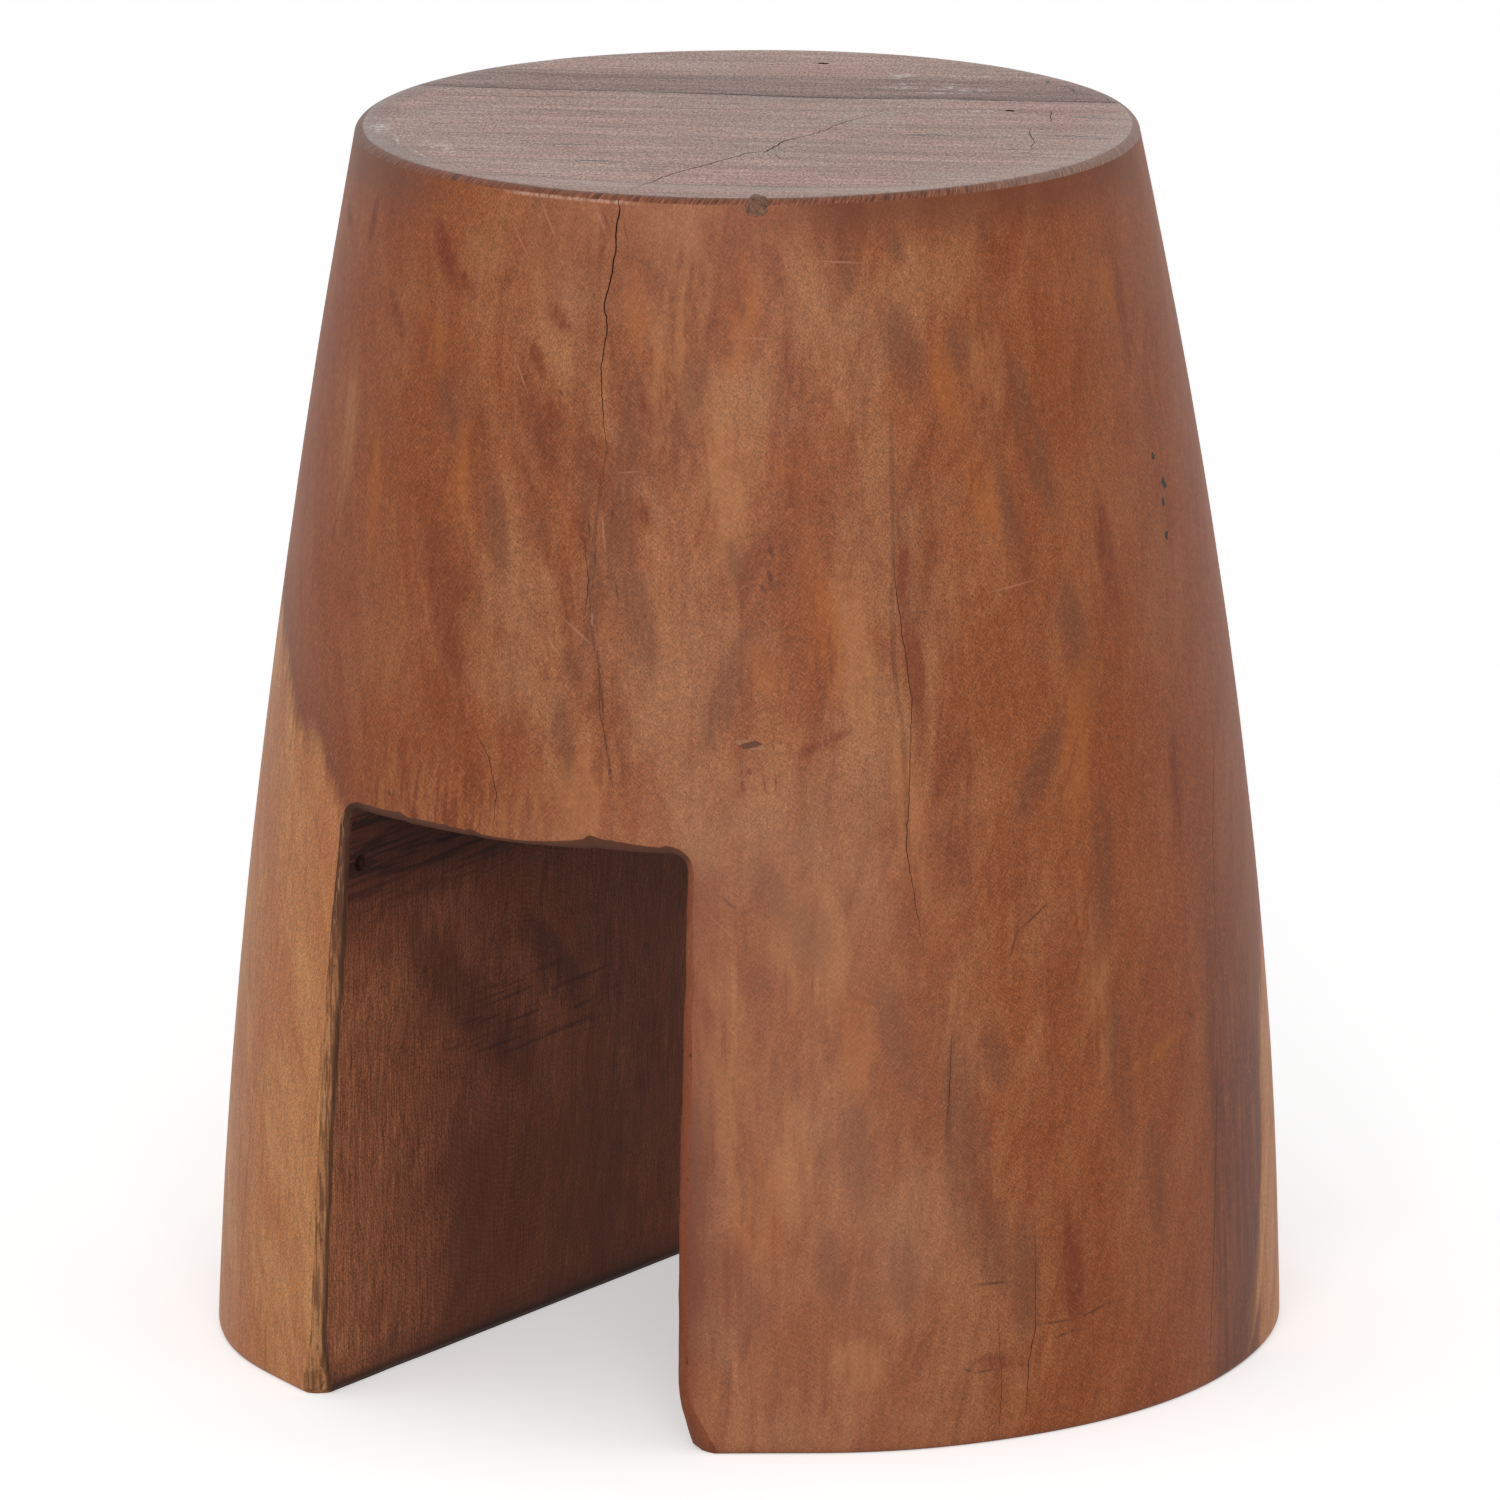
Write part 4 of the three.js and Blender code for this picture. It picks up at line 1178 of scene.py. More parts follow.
share = add(tree, RANGE, None, angle, -180, 180)
edge = add(tree, "ShaderNodeFloatCurve", None, 1, share, out=None)
points = edge.mapping.curves[0].points
for degrees, top in SAPWOOD_TOP:
    out = flank_at(degrees, max(top, 4) * MM)[0].xy.length / MM - min(top, 0) * 0.1
    spot = ((degrees + 180) / 360, out / REACH_SCALE)
    if abs(degrees) == 180:
        points[0 if degrees < 0 else -1].location = spot
    else:
        points.new(*spot)
edge.mapping.update()
past_edge = add(tree, MATH, "MULTIPLY_ADD", edge.outputs[0], -REACH_SCALE, reach)
for name, ragged in (("Ribbon", 1.4), ("Flame", 3)):
    off = add(tree, MATH, "SUBTRACT", fields[name], 0.5)
    past_edge = add(tree, MATH, "MULTIPLY_ADD", off, ragged, past_edge)
fields["Sapwood"] = add(tree, RANGE, SMOOTH, past_edge, -0.9, 0.9)
wood.coat("6f4027", 0.4, add(tree, RANGE, SMOOTH, past_edge, -4, -0.3))
sap = Coats(tree, fields)
sap.base("b36f3f", "c68a58", Flame=(0.34, 0.64))
sap.coat("96592f", 0.5, Ribbon=(0.42, 0.3))
sap.coat("b06a45", 0.6, Cloud=(0.5, 0.64))
wood.colour = add(tree, MIX, RGBA, fields["Sapwood"], wood.colour, sap.colour)
wood.tone(
    Ribbon=(LOW, HIGH, 0.93, 1.07), Fibre=(LOW, HIGH, 0.92, 1.08), Fuzz=(LOW, HIGH, 0.66, 1.34)
)
fields["Wood"] = wood.colour
for label, socket in fields.items():
    kind = FLOAT if socket.type == "VALUE" else "NodeSocketVector"
    figure.interface.new_socket(label, in_out="OUTPUT", socket_type=kind)
end = tree.nodes.new("NodeGroupOutput")
for label, socket in fields.items():
    tree.links.new(socket, end.inputs[label])
print("trunk figure:", len(tree.nodes), "nodes")

# %% [markdown]
# ### A new material
# Every material starts in the same way: an empty Principled shader, and the figure's fields and
# wood as its first coat.

# %% Start a material
def new_material(name):
    """A material with an empty Principled shader, and with the figure's wood as first coat."""
    material = bpy.data.materials.new(name)
    material.use_nodes = True
    tree = material.node_tree
    tree.nodes.clear()
    group = add(tree, "ShaderNodeGroup", {"node_tree": figure}, out=None)
    made = Coats(tree, dict(group.outputs.items()))
    made.material = material
    made.shader = add(tree, "ShaderNodeBsdfPrincipled", out=None)
    end = tree.nodes.new("ShaderNodeOutputMaterial")
    tree.links.new(made.shader.outputs[0], end.inputs[0])
    return made


# %% [markdown]
# ### Marks placed one by one
# Some marks belong to one place only: a stain, a scratch, a dark line. Each is a soft ellipse
# or a soft line on a plane that lies along the surface. A brush could paint them on an image,
# but as numbers they stay sharp at every size. For lines, a Float Curve gives how far
# across the line runs at each place along it.

# %% Soft ellipses and lines
def spots(tree, plane, marks, soft=0.2, stretch=1.0):
    """A mask of soft ellipses: middle across and along, half length, half width, tilt."""
    mask = 0
    for a, b, long, wide, tilt in marks:
        near = add(
            tree, "ShaderNodeMapping", INVERSE, plane,
            (a * stretch, b, 0), (0, 0, math.radians(tilt)), (wide, long, 1),
        )
        near = add(tree, RANGE, SMOOTH, add(tree, VECTOR, "LENGTH", near), 1, soft)
        mask = add(tree, MATH, "MAXIMUM", mask, near)
    return mask


def line(tree, along, across, stops, wide, fade=0.12):
    """A mask of a soft line through stops of (along, across), and how far beside it a point is."""
    low, high = stops[0][0], stops[-1][0]
    least, most = min(b for a, b in stops) - 1, max(b for a, b in stops) + 1
    share = add(tree, RANGE, None, along, low, high)
    curve = add(tree, "ShaderNodeFloatCurve", None, 1, share, out=None)
    points = curve.mapping.curves[0].points
    for a, b in stops:
        spot = ((a - low) / (high - low), (b - least) / (most - least))
        if spot[0] in (0, 1):
            points[-int(spot[0])].location = spot
        else:
            points.new(*spot)
    curve.mapping.update()
    run = add(tree, RANGE, None, curve.outputs[0], 0, 1, least, most)
    away = add(tree, MATH, "SUBTRACT", across, run)
    mask = add(tree, RANGE, SMOOTH, add(tree, MATH, "ABSOLUTE", away), wide, 0.25 * wide)
    reach, middle = (high - low) / 2, (low + high) / 2
    ends = add(tree, MATH, "ABSOLUTE", add(tree, MATH, "SUBTRACT", along, middle))
    ends = add(tree, RANGE, SMOOTH, ends, reach, reach * (1 - 2 * fade))
    return add(tree, MATH, "MULTIPLY", mask, ends), away


def flank_line(coats, stops, wide, fade=0.12):
    """A line on the flank, through stops of angle and height from the top down."""
    across = add(coats.tree, MATH, "MULTIPLY", coats.fields["Angle"], ARC)
    places = [(height, degrees * ARC) for degrees, height in reversed(stops)]
    return line(coats.tree, coats.fields["z"], across, places, wide, fade)[0]


# %% [markdown]
# ## The oiled flank
# The flank is tropical hardwood cut along the grain, sanded by hand and oiled, not varnished.
# Oil soaks in and leaves no film, so the gloss is that of open fibres: an IOR near 1.3 and a
# roughness near 0.55. The bump is a tenth of a millimetre of fibres and fuzz. The broad stains
# are numbers on the mesh, one for each vertex, which is quicker to render than nodes. The
# shader then makes their edges ragged with the wood's own figure.

# %% Stains on the flank: angle, height, half length, half width, tilt
RED_STAINS = (
    (-99, 413, 10, 3.5, 55), (-83, 405, 9, 3.5, 50), (-86, 390, 11, 3.5, 34),
    (-83, 371, 9, 3.5, 33), (-112, 396, 15, 3.5, 40), (-70, 373, 9, 4, 23), (-70, 339, 8, 4, 29),
    (-78, 332, 12, 3.5, 16), (-103, 421, 18, 6, 36), (-133, 422, 12, 3.5, 70),
    (-122, 426, 12, 4, -9), (-7, 310, 30, 6, 4), (4, 395, 22, 4, -3), (-30, 30, 4, 9, -10),
    (-37, 300, 60, 5, 3), (-58, 60, 26, 9, 10), (-66, 30, 16, 12, 0), (-97, 300, 40, 8, 20),
    (2, 225, 30, 5, -4), (-20, 60, 30, 6, 5),
)
PURPLE_STAINS = (
    (-43, 426, 14, 6, -3), (-28, 394, 14, 8, -20), (-58, 320, 14, 6, 15), (-76, 307, 26, 5, -5),
    (-59, 279, 32, 7, -21), (-54, 204, 18, 8, 28), (-33, 214, 18, 6, 12), (-34, 128, 20, 5, 12),
    (-29, 142, 16, 6, 10), (-40, 66, 22, 6, 2), (-30, 76, 26, 8, 9), (-7, 84, 30, 6, 3),
    (-21, 242, 26, 7, -31), (-78, 282, 12, 5, 27), (-50, 190, 18, 9, 5), (-13, 200, 40, 7, -8),
    (-72, 372, 26, 7, 4), (-78, 350, 34, 5, 3), (-64, 385, 18, 7, -10), (-22, 330, 30, 6, 10),
    (-100, 372, 26, 6, 24), (-90, 330, 26, 6, 14), (-45, 110, 30, 7, 4), (-12, 130, 40, 6, 4),
    (-73, 335, 44, 8, 2), (-70, 300, 26, 7, 12), (-85, 366, 22, 6, 30), (-79, 258, 20, 5, 10),
    (-33, 110, 50, 10, 4), (-40, 150, 30, 8, 14), (-26, 60, 30, 7, 0), (-18, 360, 40, 9, 14),
    (-36, 395, 22, 10, 20), (-14, 285, 30, 8, 10), (-64, 60, 14, 9, 0), (-48, 70, 20, 6, 6),
    (-36, 431, 9, 5, 12), (-22, 433, 8, 4, -10),
)
ORANGE_STAINS = (
    (-52, 354, 6, 3.5, 51), (1, 402, 15, 5, 15), (9, 373, 14, 4, 8), (-5, 132, 26, 3.5, -72),
    (-104, 392, 20, 8, 32), (-96, 347, 24, 9, -7), (-27, 349, 26, 9, 17), (-55, 284, 15, 7, 34),
    (-112, 330, 30, 6, 5), (-15, 250, 40, 8, -12), (-45, 150, 24, 8, 0), (-72, 410, 20, 7, 10),
    (-30, 380, 22, 8, 12), (-58, 410, 26, 10, -6), (-48, 300, 34, 8, 8), (-56, 90, 30, 10, 0),
)

PALE_STAINS = (
    (-50, 187, 34, 16, 12), (-60, 140, 44, 12, 0), (-76, 238, 18, 11, 0), (-66, 395, 50, 14, -4),
    (-45, 34, 12, 10, 0), (-38, 232, 40, 7, 8), (-60, 345, 40, 9, 6), (-24, 392, 24, 10, 8),
    (-120, 345, 40, 6, 6), (-15, 165, 40, 8, 4), (-52, 110, 30, 12, 8), (-44, 290, 36, 9, 6),
)


# %% [markdown]
# ### Stains as numbers on the mesh
# Each vertex gets four numbers, one for each kind of stain, which are kept as a colour
# attribute. A stain is a soft ellipse, measured in millimetres on the unrolled flank.

# %% Write the stains on the trunk
def stain_strength(places, marks):
    """How strongly each place is stained, from 0 to 1, by soft ellipses."""
    angles = np.degrees(np.arctan2(places[:, 1], places[:, 0]))
    strength = np.zeros(len(places))
    for angle, height, long, wide, tilt in marks:
        turn = math.radians(tilt)
        across = ((angles - angle + 180) % 360 - 180) * ARC
        along = places[:, 2] / MM - height
        a = (across * math.cos(turn) + along * math.sin(turn)) / wide
        b = (along * math.cos(turn) - across * math.sin(turn)) / long
        near = np.clip(1.3 - np.hypot(a, b), 0, 1)
        strength = np.maximum(strength, near * near * (3 - 2 * near))
    return strength


stains = np.zeros((len(trunk.data.vertices), 4))
for channel, marks in enumerate((RED_STAINS, PURPLE_STAINS, ORANGE_STAINS, PALE_STAINS)):
    stains[:, channel] = stain_strength(corners, marks)
layer = trunk.data.attributes.new("stains", "FLOAT_COLOR", "POINT")
layer.data.foreach_set("color", stains.ravel())
print("stained vertices:", int((stains.max(1) > 0.5).sum()))

# %% [markdown]
# ### Marks too small for the mesh
# Scratches and dark lines are finer than the mesh, so the shader draws them one by one. Their
# lists are of the same kind as those of the stains.

# %% Small marks on the flank: angle, height, half length, half width, tilt
SMEAR = (
    (-48, 258, 18, 2.6, -66), (-57, 248, 6, 2, -84), (-55, 244, 7, 1, 11), (-53.6, 244, 6, 1, 5),
    (-47, 252, 5, 1, 0), (-57.5, 243, 4, 1.3, 0),
)
DARK_SPOTS = (
    (-54, 326, 4.5, 1.2, 13), (-54, 316, 5, 1.6, 12), (-55, 313, 3, 1.2, 40),
    (-103, 228, 1.6, 1.2, 31), (-82, 379, 2.4, 1, 34), (-126, 158, 5, 0.5, 12),
    (-133, 105, 6, 0.5, 4),
)
SCRATCHES = (
    (-88, 383, 12, 0.6, 31), (-78, 296, 11, 0.7, 53), (-81, 290, 7, 0.6, 42),
    (-72, 353, 6, 0.6, -83), (-23, 308, 16, 0.5, -84), (-60, 193, 12, 0.5, 46),
    (-78, 441, 9, 0.7, 29), (-86, 439, 11, 0.8, 35), (-75, 330, 10, 0.6, 8),
    (-44, 427, 14, 0.5, 86), (-56, 401, 11, 0.5, 88), (-90, 430, 10, 0.6, 40),
)
DARK_LINES = (
    (-22, 41, 9, 0.8, 88), (-17, 42.5, 9, 0.8, -74), (-21, 36, 7, 0.7, -80), (-30, 59, 9, 0.9, 88),
    (-33, 28, 3, 0.9, 66), (-31, 27, 6, 0.8, -86), (-23, 190, 12, 0.8, -56),
    (-59, 201, 5, 1.0, 48), (-77, 440, 7, 0.7, 34), (-74, 436, 6, 0.8, 22), (1, 140, 3, 0.9, 31),
    (-26, 181, 8, 0.7, -20), (-77, 333, 6, 0.7, 8), (-74, 338, 5, 0.8, -6), (-76, 322, 6, 0.8, 4),
    (-73, 311, 5, 0.7, 12),
)

# %% [markdown]
# ### From bare wood to the finished flank
# The material starts with the figure's wood. Stains, lines, sanding strokes and wear are laid
# over it in the order in which they came about, in the workshop and then in use. A painted
# sheen and a painted highlight go on with the wear.

# %% Stains over the bare flank
flank = new_material("hand-sanded oiled hardwood, long grain")
tree, plane = flank.tree, flank.fields["Unrolled"]
stain = add(tree, "ShaderNodeAttribute", {"attribute_name": "stains"}, out=None).outputs
red, purple, orange = add(tree, SPLIT, None, stain["Color"], out=None).outputs
ragged = add(tree, MATH, "ADD", flank.fields["Ribbon"], flank.fields["Flame"])
ragged = add(tree, RANGE, None, ragged, 0.8, 1.2, 0.35, 1.45)
for share, code, strength in (
    (stain["Alpha"], "b5794c", 0.45), (purple, "613828", 0.5), (orange, "a85f2b", 0.5),
    (red, "6b2b16", 0.7),
):
    share = add(tree, MATH, "MULTIPLY", share, ragged)
    flank.coat(code, strength, add(tree, RANGE, None, share, 0.2, 1))
flank.coat("6a2815", 0.7, spots(tree, plane, SMEAR, 0, ARC), Ribbon=(0.38, 0.52))

# Flames over the tunnel's left half, where the ceiling cuts the fibres short
here = flank.mask(Angle=(-109, -104, -84, -76), z=(262, 226))
flank.coat("68301c", 0.6, here, Ribbon=(0.5, 0.6))
flank.coat("aa6a3c", 0.5, here, Ribbon=(0.46, 0.36))

# The dark red-brown band at the right, up to the sapwood
heartwood = add(tree, MATH, "SUBTRACT", 1, flank.fields["Sapwood"])
flank.coat(
    "5f2d1d", 0.8, heartwood, Angle=(2.5, 6, 16, 30), z=(250, 90), Ribbon=(0.38, 0.56, 0.35, 1)
)
print("stained flank:", len(tree.nodes), "nodes")

# %% [markdown]
# ### Lines and dark marks
# Long soft lines run down the flank beside the hairlines that were carved, and the check goes
# on as a thin dark line below its filled stretch.

# %% Lines and dark marks on the flank
CHECK_TAIL = (
    (-75.4, 358), (-75.9, 340), (-76.4, 317), (-75.8, 295), (-74.9, 284), (-73.6, 256),
    (-72.4, 236),
)

for stops in (
    ((-38, 381), (-38.8, 322), (-39.3, 293), (-38.4, 250), (-39, 208)),
    ((-33.6, 154), (-34.5, 135), (-34.7, 100)),
):
    flank.coat("52301f", 0.35, flank_line(flank, stops, 1.4))
flank.coat("3c2019", 0.55, flank_line(flank, CHECK_TAIL, 1, 0.1), Fibre=(0.62, 0.42, 0.2, 1))
flank.coat("3a1e15", 0.65, spots(tree, plane, DARK_LINES, 0, ARC))
flank.coat("40241a", 0.55, spots(tree, plane, DARK_SPOTS, 0.1, ARC))
print("lined flank:", len(tree.nodes), "nodes")

# %% [markdown]
# ### Sanding, wear and painted light
# Sanding left strokes in two directions, the deepest of them pale, and a few long scratches.
# The flank is paler above and beside the tunnel, and darker under the rim at both sides. In
# front, a painted sheen pales it under the rim, and a painted highlight runs along the rim's
# lower edge. Along the tunnel's right arris it is red-brown and bruised.

# %% Strokes, wear and painted light on the flank
# A painted highlight: a thin pale line along the lower edge of the rim in front
PAINTED_RIM_HIGHLIGHT = {
    "Angle": (-95, -90, -76, -71), "z": (446.2, 446.8, 447.4, 448), "Fibre": (0.4, 0.6, 0.2, 1)
}

hairs = 0
for tilt in (-38, 52):
    flank.patterns(plane, {"Hair": ((0.45, 4.5, 1), 1, 0.6)}, tilt, FLAT)
    flank.tone(Hair=(LOW, HIGH, 0.9, 1.1))
    hairs = add(tree, MATH, "MAXIMUM", hairs, flank.mask(Hair=(0.66, 0.8)))
flank.coat("bd8262", 0.4, hairs, Cloud=(0.4, 0.6, 0.3, 1))
flank.coat("c08a70", 0.45, spots(tree, plane, SCRATCHES, 0, ARC))
flank.coat("b07a5e", 0.22, Angle=(-92, -80, -44, -26), z=(265, 205))
# Painted sheen: a pale haze under the rim in front
flank.coat("a87258", 0.35, Angle=(-96, -80, -66, -42), z=(385, 447), Flame=(0.35, 0.6, 0.4, 1))
flank.coat("6b4636", 0.6, Angle=(-178, -165, -118, -98), z=(424, 445))
flank.coat("6b3a26", 0.65, Angle=(-62, -42, 10, 30), z=(426, 446))
# Painted highlight along the rim's lower edge
flank.coat("c9a08c", 0.75, **PAINTED_RIM_HIGHLIGHT)
arris = flank.mask(x=(60, 75, 84, 98), y=(-60, -100), z=(222, 205))
flank.coat("7a3c27", 0.45, arris)
flank.coat("54322e", 0.45, arris, z=(20, 60, 115, 150))
flank.finish(1.3, flank.mask(Fuzz=(LOW, HIGH, 0.48, 0.6)), 0.3, 0.1, "Fibre", "Fuzz")

# %% [markdown]
# ## The seat
# The seat is end grain: the cut ends of the fibres. Sanding leaves it paler and greyer than the
# flank, with fine lines where the saw crossed harder and softer rings. A wax film gives it more
# gloss at a low angle, so the IOR is 1.45. The seat also shows what years of sitting and
# moving do: a pale worn rim, white scuffs and short dark cracks. The pale rim at the right is
# partly a painted highlight.

# %% Marks on the seat: x, y, half length, half width, tilt from +Y
SCUFFS = (
    (-88, -98, 16, 1.4, 40), (-66, -116, 16, 1.4, 56), (2, 103, 9, 2.4, -25),
    (10, 92, 12, 2.6, -50), (30, 84, 14, 2.8, -62), (38, 74, 9, 2.0, -60), (22, 100, 10, 2.0, -70),
    (-60, -50, 20, 1.4, -63), (36, 94, 12, 6.0, -60), (26, 92, 12, 5.0, -30),
    (0, 105, 8, 5.0, -60), (12, 84, 14, 5.0, -62), (-105, -84, 16, 7.0, 35),
    (-66, -102, 18, 6.0, 60), (60, 62, 16, 3.0, -62),
)
SEAT_DASHES = (
    (6, 28, 4.5, 1.4, -63), (-43, 5, 4, 1.4, -50), (-37, -37, 10, 1.4, -66),
    (70, 15, 11, 1.4, -63), (113, 40, 14, 1.5, -63), (100, 77, 4, 1.6, -65), (51, 123, 7, 1.2, 40),
    (-110, -35, 14, 1.3, -64), (-70, -20, 16, 1.2, -62), (124, 43, 5, 1.8, -66),
    (65, 11, 9, 1.5, -63), (99, 73, 11, 1.7, -65), (109, 8, 2, 1.8, -50), (116, 5, 2.5, 1.8, -66),
    (121, 2, 2, 1.8, -40), (-30, -72, 14, 1.5, -63), (-6, -92, 12, 1.6, -66),
    (19, -94, 9, 1.5, -70), (1, -33, 10, 1.4, -63), (66, 116, 9, 1.2, 40),
)

# Stops of x and y: the long dark ring line, a fainter one, and the ridge in front
LONG_LINE = (
    (-129, -6), (-100, 8), (-38, 37), (0, 53), (30, 70), (60, 86), (90, 101), (112, 112)
)
SHORT_LINE = ((-126, -21), (-100, -8), (-75, 5), (-50, 15))
FRONT_RIDGE = ((-20, -131), (20, -121), (60, -104), (100, -82), (118, -64))


def on_rings(stops):
    """Places of the seat as (along, across) its growth rings."""
    cos, sin = math.cos(math.radians(RING_SLOPE)), math.sin(math.radians(RING_SLOPE))
    return [(x * cos + y * sin, y * cos - x * sin) for x, y in stops]


# %% [markdown]
# ### From end grain to the finished seat
# The lines run along the growth rings, so the pattern's axes are turned with them. Real pores
# are a tenth of a millimetre wide, too fine to show from here. So the cut fibre ends are drawn
# as marks of about a millimetre, as coarse as the eye needs to see end grain.

# %% The seat's patterns and its dark line
# Size along and across the rings in millimetres, then detail and roughness
SEAT_PATTERNS = {
    "Lines": ((60, 2.4, 60), 4, 0.65),
    "Bands": ((80, 9, 60), 3, 0.6),
    "Ends": ((0.9, 2.6, 2), 2, 0.7),
    "Thin": ((26, 1.7, 26), 2, 0.6),
}

RUB = 1 / 0.45  # millimetres, of the pattern that breaks the scuffs up

seat = new_material("sanded and waxed hardwood end grain")
tree, fields = seat.tree, seat.fields
level = add(tree, JOIN, None, fields["x"], fields["y"], 0)
turned = seat.patterns(fields["Place"], SEAT_PATTERNS, RING_SLOPE)
seat.patterns(fields["Place"], {"Rub": ((RUB, RUB, RUB), 3, 0.7)})
along, across, up = add(tree, SPLIT, None, turned, out=None).outputs
seat.base("8a6251", "a27563", Bands=(0.36, 0.64))
seat.coat("9a6758", 0.7, Cloud=(0.48, 0.66))
seat.coat("957868", 0.7, Cloud=(0.5, 0.36))

# The long dark ring line, the darker wood behind it, and a painted shadow in front of it
dark_line, fields["Behind line"] = line(tree, along, across, on_rings(LONG_LINE), 2.2, 0.03)
behind = seat.mask(Behind_line=(-1, 1.5, 26, 48), Bands=(0.3, 0.6, 1, 0.6))
seat.coat("5a3529", 0.9, behind)
# Painted shadow in a narrow band in front of the line
seat.coat("6b4638", 0.35, Behind_line=(-9, -2, -1, 0))
fainter = line(tree, along, across, on_rings(SHORT_LINE), 0.9)[0]
fainter = add(tree, MATH, "MULTIPLY", fainter, 0.6)
dark_line = seat.mask(add(tree, MATH, "MAXIMUM", dark_line, fainter), Lines=(0.62, 0.42))
seat.coat("331e17", 0.7, dark_line)
print("seat with its dark line:", len(tree.nodes), "nodes")

# %% [markdown]
# ### Pores, a ridge, wear and painted light
# Fine lines, cut pores, short dashes and a red spot come next, then a ridge in front. The ridge
# is only a dark line, and a painted reflection makes the slope outside it paler. Last come a
# pale rim at the right, partly wear and partly a painted highlight, a pale worn rim in front,
# an edge that is darker at the left, and scuffs.

# %% The seat's pores, marks, wear and painted light
seat.tone(Lines=(LOW, HIGH, 0.76, 1.24), Ends=(LOW, HIGH, 0.3, 1.7))
seat.coat("432a21", 0.7, Thin=(0.37, 0.27))
seat.coat("2c1a14", 0.9, spots(tree, level, SEAT_DASHES, 0.2))
seat.coat("8e2f22", 0.6, spots(tree, level, ((71, -44, 3, 1.6, -63),), 0.2))
ridge, fields["Ridge"] = line(tree, fields["x"], fields["y"], FRONT_RIDGE, 1.2, 0.05)
seat.coat("5a3b30", 0.6, ridge)
# Painted reflection: a paler slope outside the ridge
seat.coat("a08578", 0.45, Ridge=(-14, -11, -1.5, -0.5), x=(-30, 10))
# Pale rim at the right: partly wear, partly a painted highlight
seat.coat("ac988c", 0.4, Reach=(112, 140), Angle=(-38, -8, 30, 52), Lines=(0.35, 0.6, 0.5, 1))
seat.coat("6a4a3e", 0.6, Reach=(126, 139), Angle=(-190, -172, -125, -95))
seat.coat("a48f84", 0.3, Reach=(133, 141))
seat.coat("dcd1ca", 0.7, spots(tree, level, SCUFFS, 0), Rub=(0.47, 0.57))
rough = add(tree, MATH, "ADD", fields["Lines"], fields["Ends"])
rough = add(tree, RANGE, None, rough, 0.7, 1.3, 0.52, 0.3)
rough = add(tree, MATH, "MULTIPLY_ADD", behind, 0.08, rough)
groove = add(tree, MATH, "MULTIPLY", dark_line, -1.5)
seat.finish(1.45, rough, 0.5, 0.25, "Lines", "Ends", groove)

# %% [markdown]
# ### The rounded rim
# Between seat and flank a file rounded the edge. It cut across the fibres, which drink more oil
# there, so the band is red-brown and shows the file's slanting strokes.

# %% Rim material
rim = new_material("filed and oiled hardwood edge")
rim.patterns(rim.fields["Unrolled"], {"Strokes": ((0.7, 6, 1), 2, 0.6)}, -42, FLAT)
rim.base("66351f", "8a523a", Strokes=(0.35, 0.65))
rim.coat("705347", 0.55, z=(448.6, 449.8))
rim.coat("94796b", 0.6, Angle=(-30, -6, 40, 60))
rim.coat("6d5044", 0.6, Angle=(-185, -175, -140, -105))
# Painted highlight along the rim's lower edge, as on the flank
rim.coat("c9a08c", 0.75, **PAINTED_RIM_HIGHLIGHT)
rim.tone(Strokes=(LOW, HIGH, 0.7, 1.3), Fuzz=(LOW, HIGH, 0.86, 1.12))
rim.finish(1.38, 0.5, 0.5, 0.2, "Strokes", "Fuzz")

# %% [markdown]
# ## Inside the tunnel
# The walls were sawn, then sanded less than the flank, and nobody oils a tunnel twice. They
# show dark figure that runs slantwise, with a pale streak in it. Little light gets in, so their
# colours are lighter than they look. Painted light makes them paler low down near the front
# mouth, and painted shade darker low down in the middle.

# %% The wall's wood and its slanting figure
SLANTS = (
    (((-140, 168), (-105, 142), (-60, 106), (-35, 96)), 22, 0.2),
    (((-60, 158), (-30, 132), (-5, 106)), 13, 0.3),
)

wall = new_material("sawn and sanded hardwood")
tree, fields = wall.tree, wall.fields
plane = add(tree, JOIN, None, fields["y"], fields["z"], 0)
wall.patterns(
    plane, {"Soft": ((16, 16, 1), 3, 0.6), "Saw": ((45, 2.6, 1), 3, 0.6)}, settings=FLAT
)
wall.base("7d4530", "95593f", Flame=(0.34, 0.66))
# Painted light: paler low down near the front mouth
wall.coat("aa6c48", 0.65, y=(-85, -165), z=(175, 140), Ribbon=(0.38, 0.6, 0.35, 1.25))
wall.tone(Fibre=(LOW, HIGH, 0.6, 1.4), Fuzz=(LOW, HIGH, 0.45, 1.55))
sway = add(tree, MATH, "SUBTRACT", fields["Soft"], 0.5)
high = add(tree, MATH, "MULTIPLY_ADD", sway, 14, fields["z"])
dark = 0
for stops, wide, fade in SLANTS:
    slant = line(tree, fields["y"], high, stops, wide, fade)[0]
    dark = add(tree, MATH, "MAXIMUM", dark, slant)
wall.coat("45241a", 0.7, dark, Ribbon=(0.3, 0.6, 1, 0.6))
streak = line(tree, fields["y"], high, ((-75, 150), (-40, 122), (-15, 92)), 5, 0.3)[0]
wall.coat("9a5c3e", 0.35, streak)
# Painted shade: darker low down in the middle of the tunnel
wall.coat("59301f", 0.55, y=(-118, -88, -10, 60), z=(120, 60))
print("wall with its figure:", len(tree.nodes), "nodes")

# %% [markdown]
# ### Marks of saw and sander, and painted shade
# Level saw marks are left near the ceiling, and a few lower down. A turning sander left arcs
# round its centre, 2 mm apart. The wall darkens in a ragged band near the floor, painted shadow
# lines the floor itself, and the wall is lighter towards the back mouth.

# %% The wall's saw marks, arcs and painted shade
SANDER_CENTRE = (-60, 112, 0)

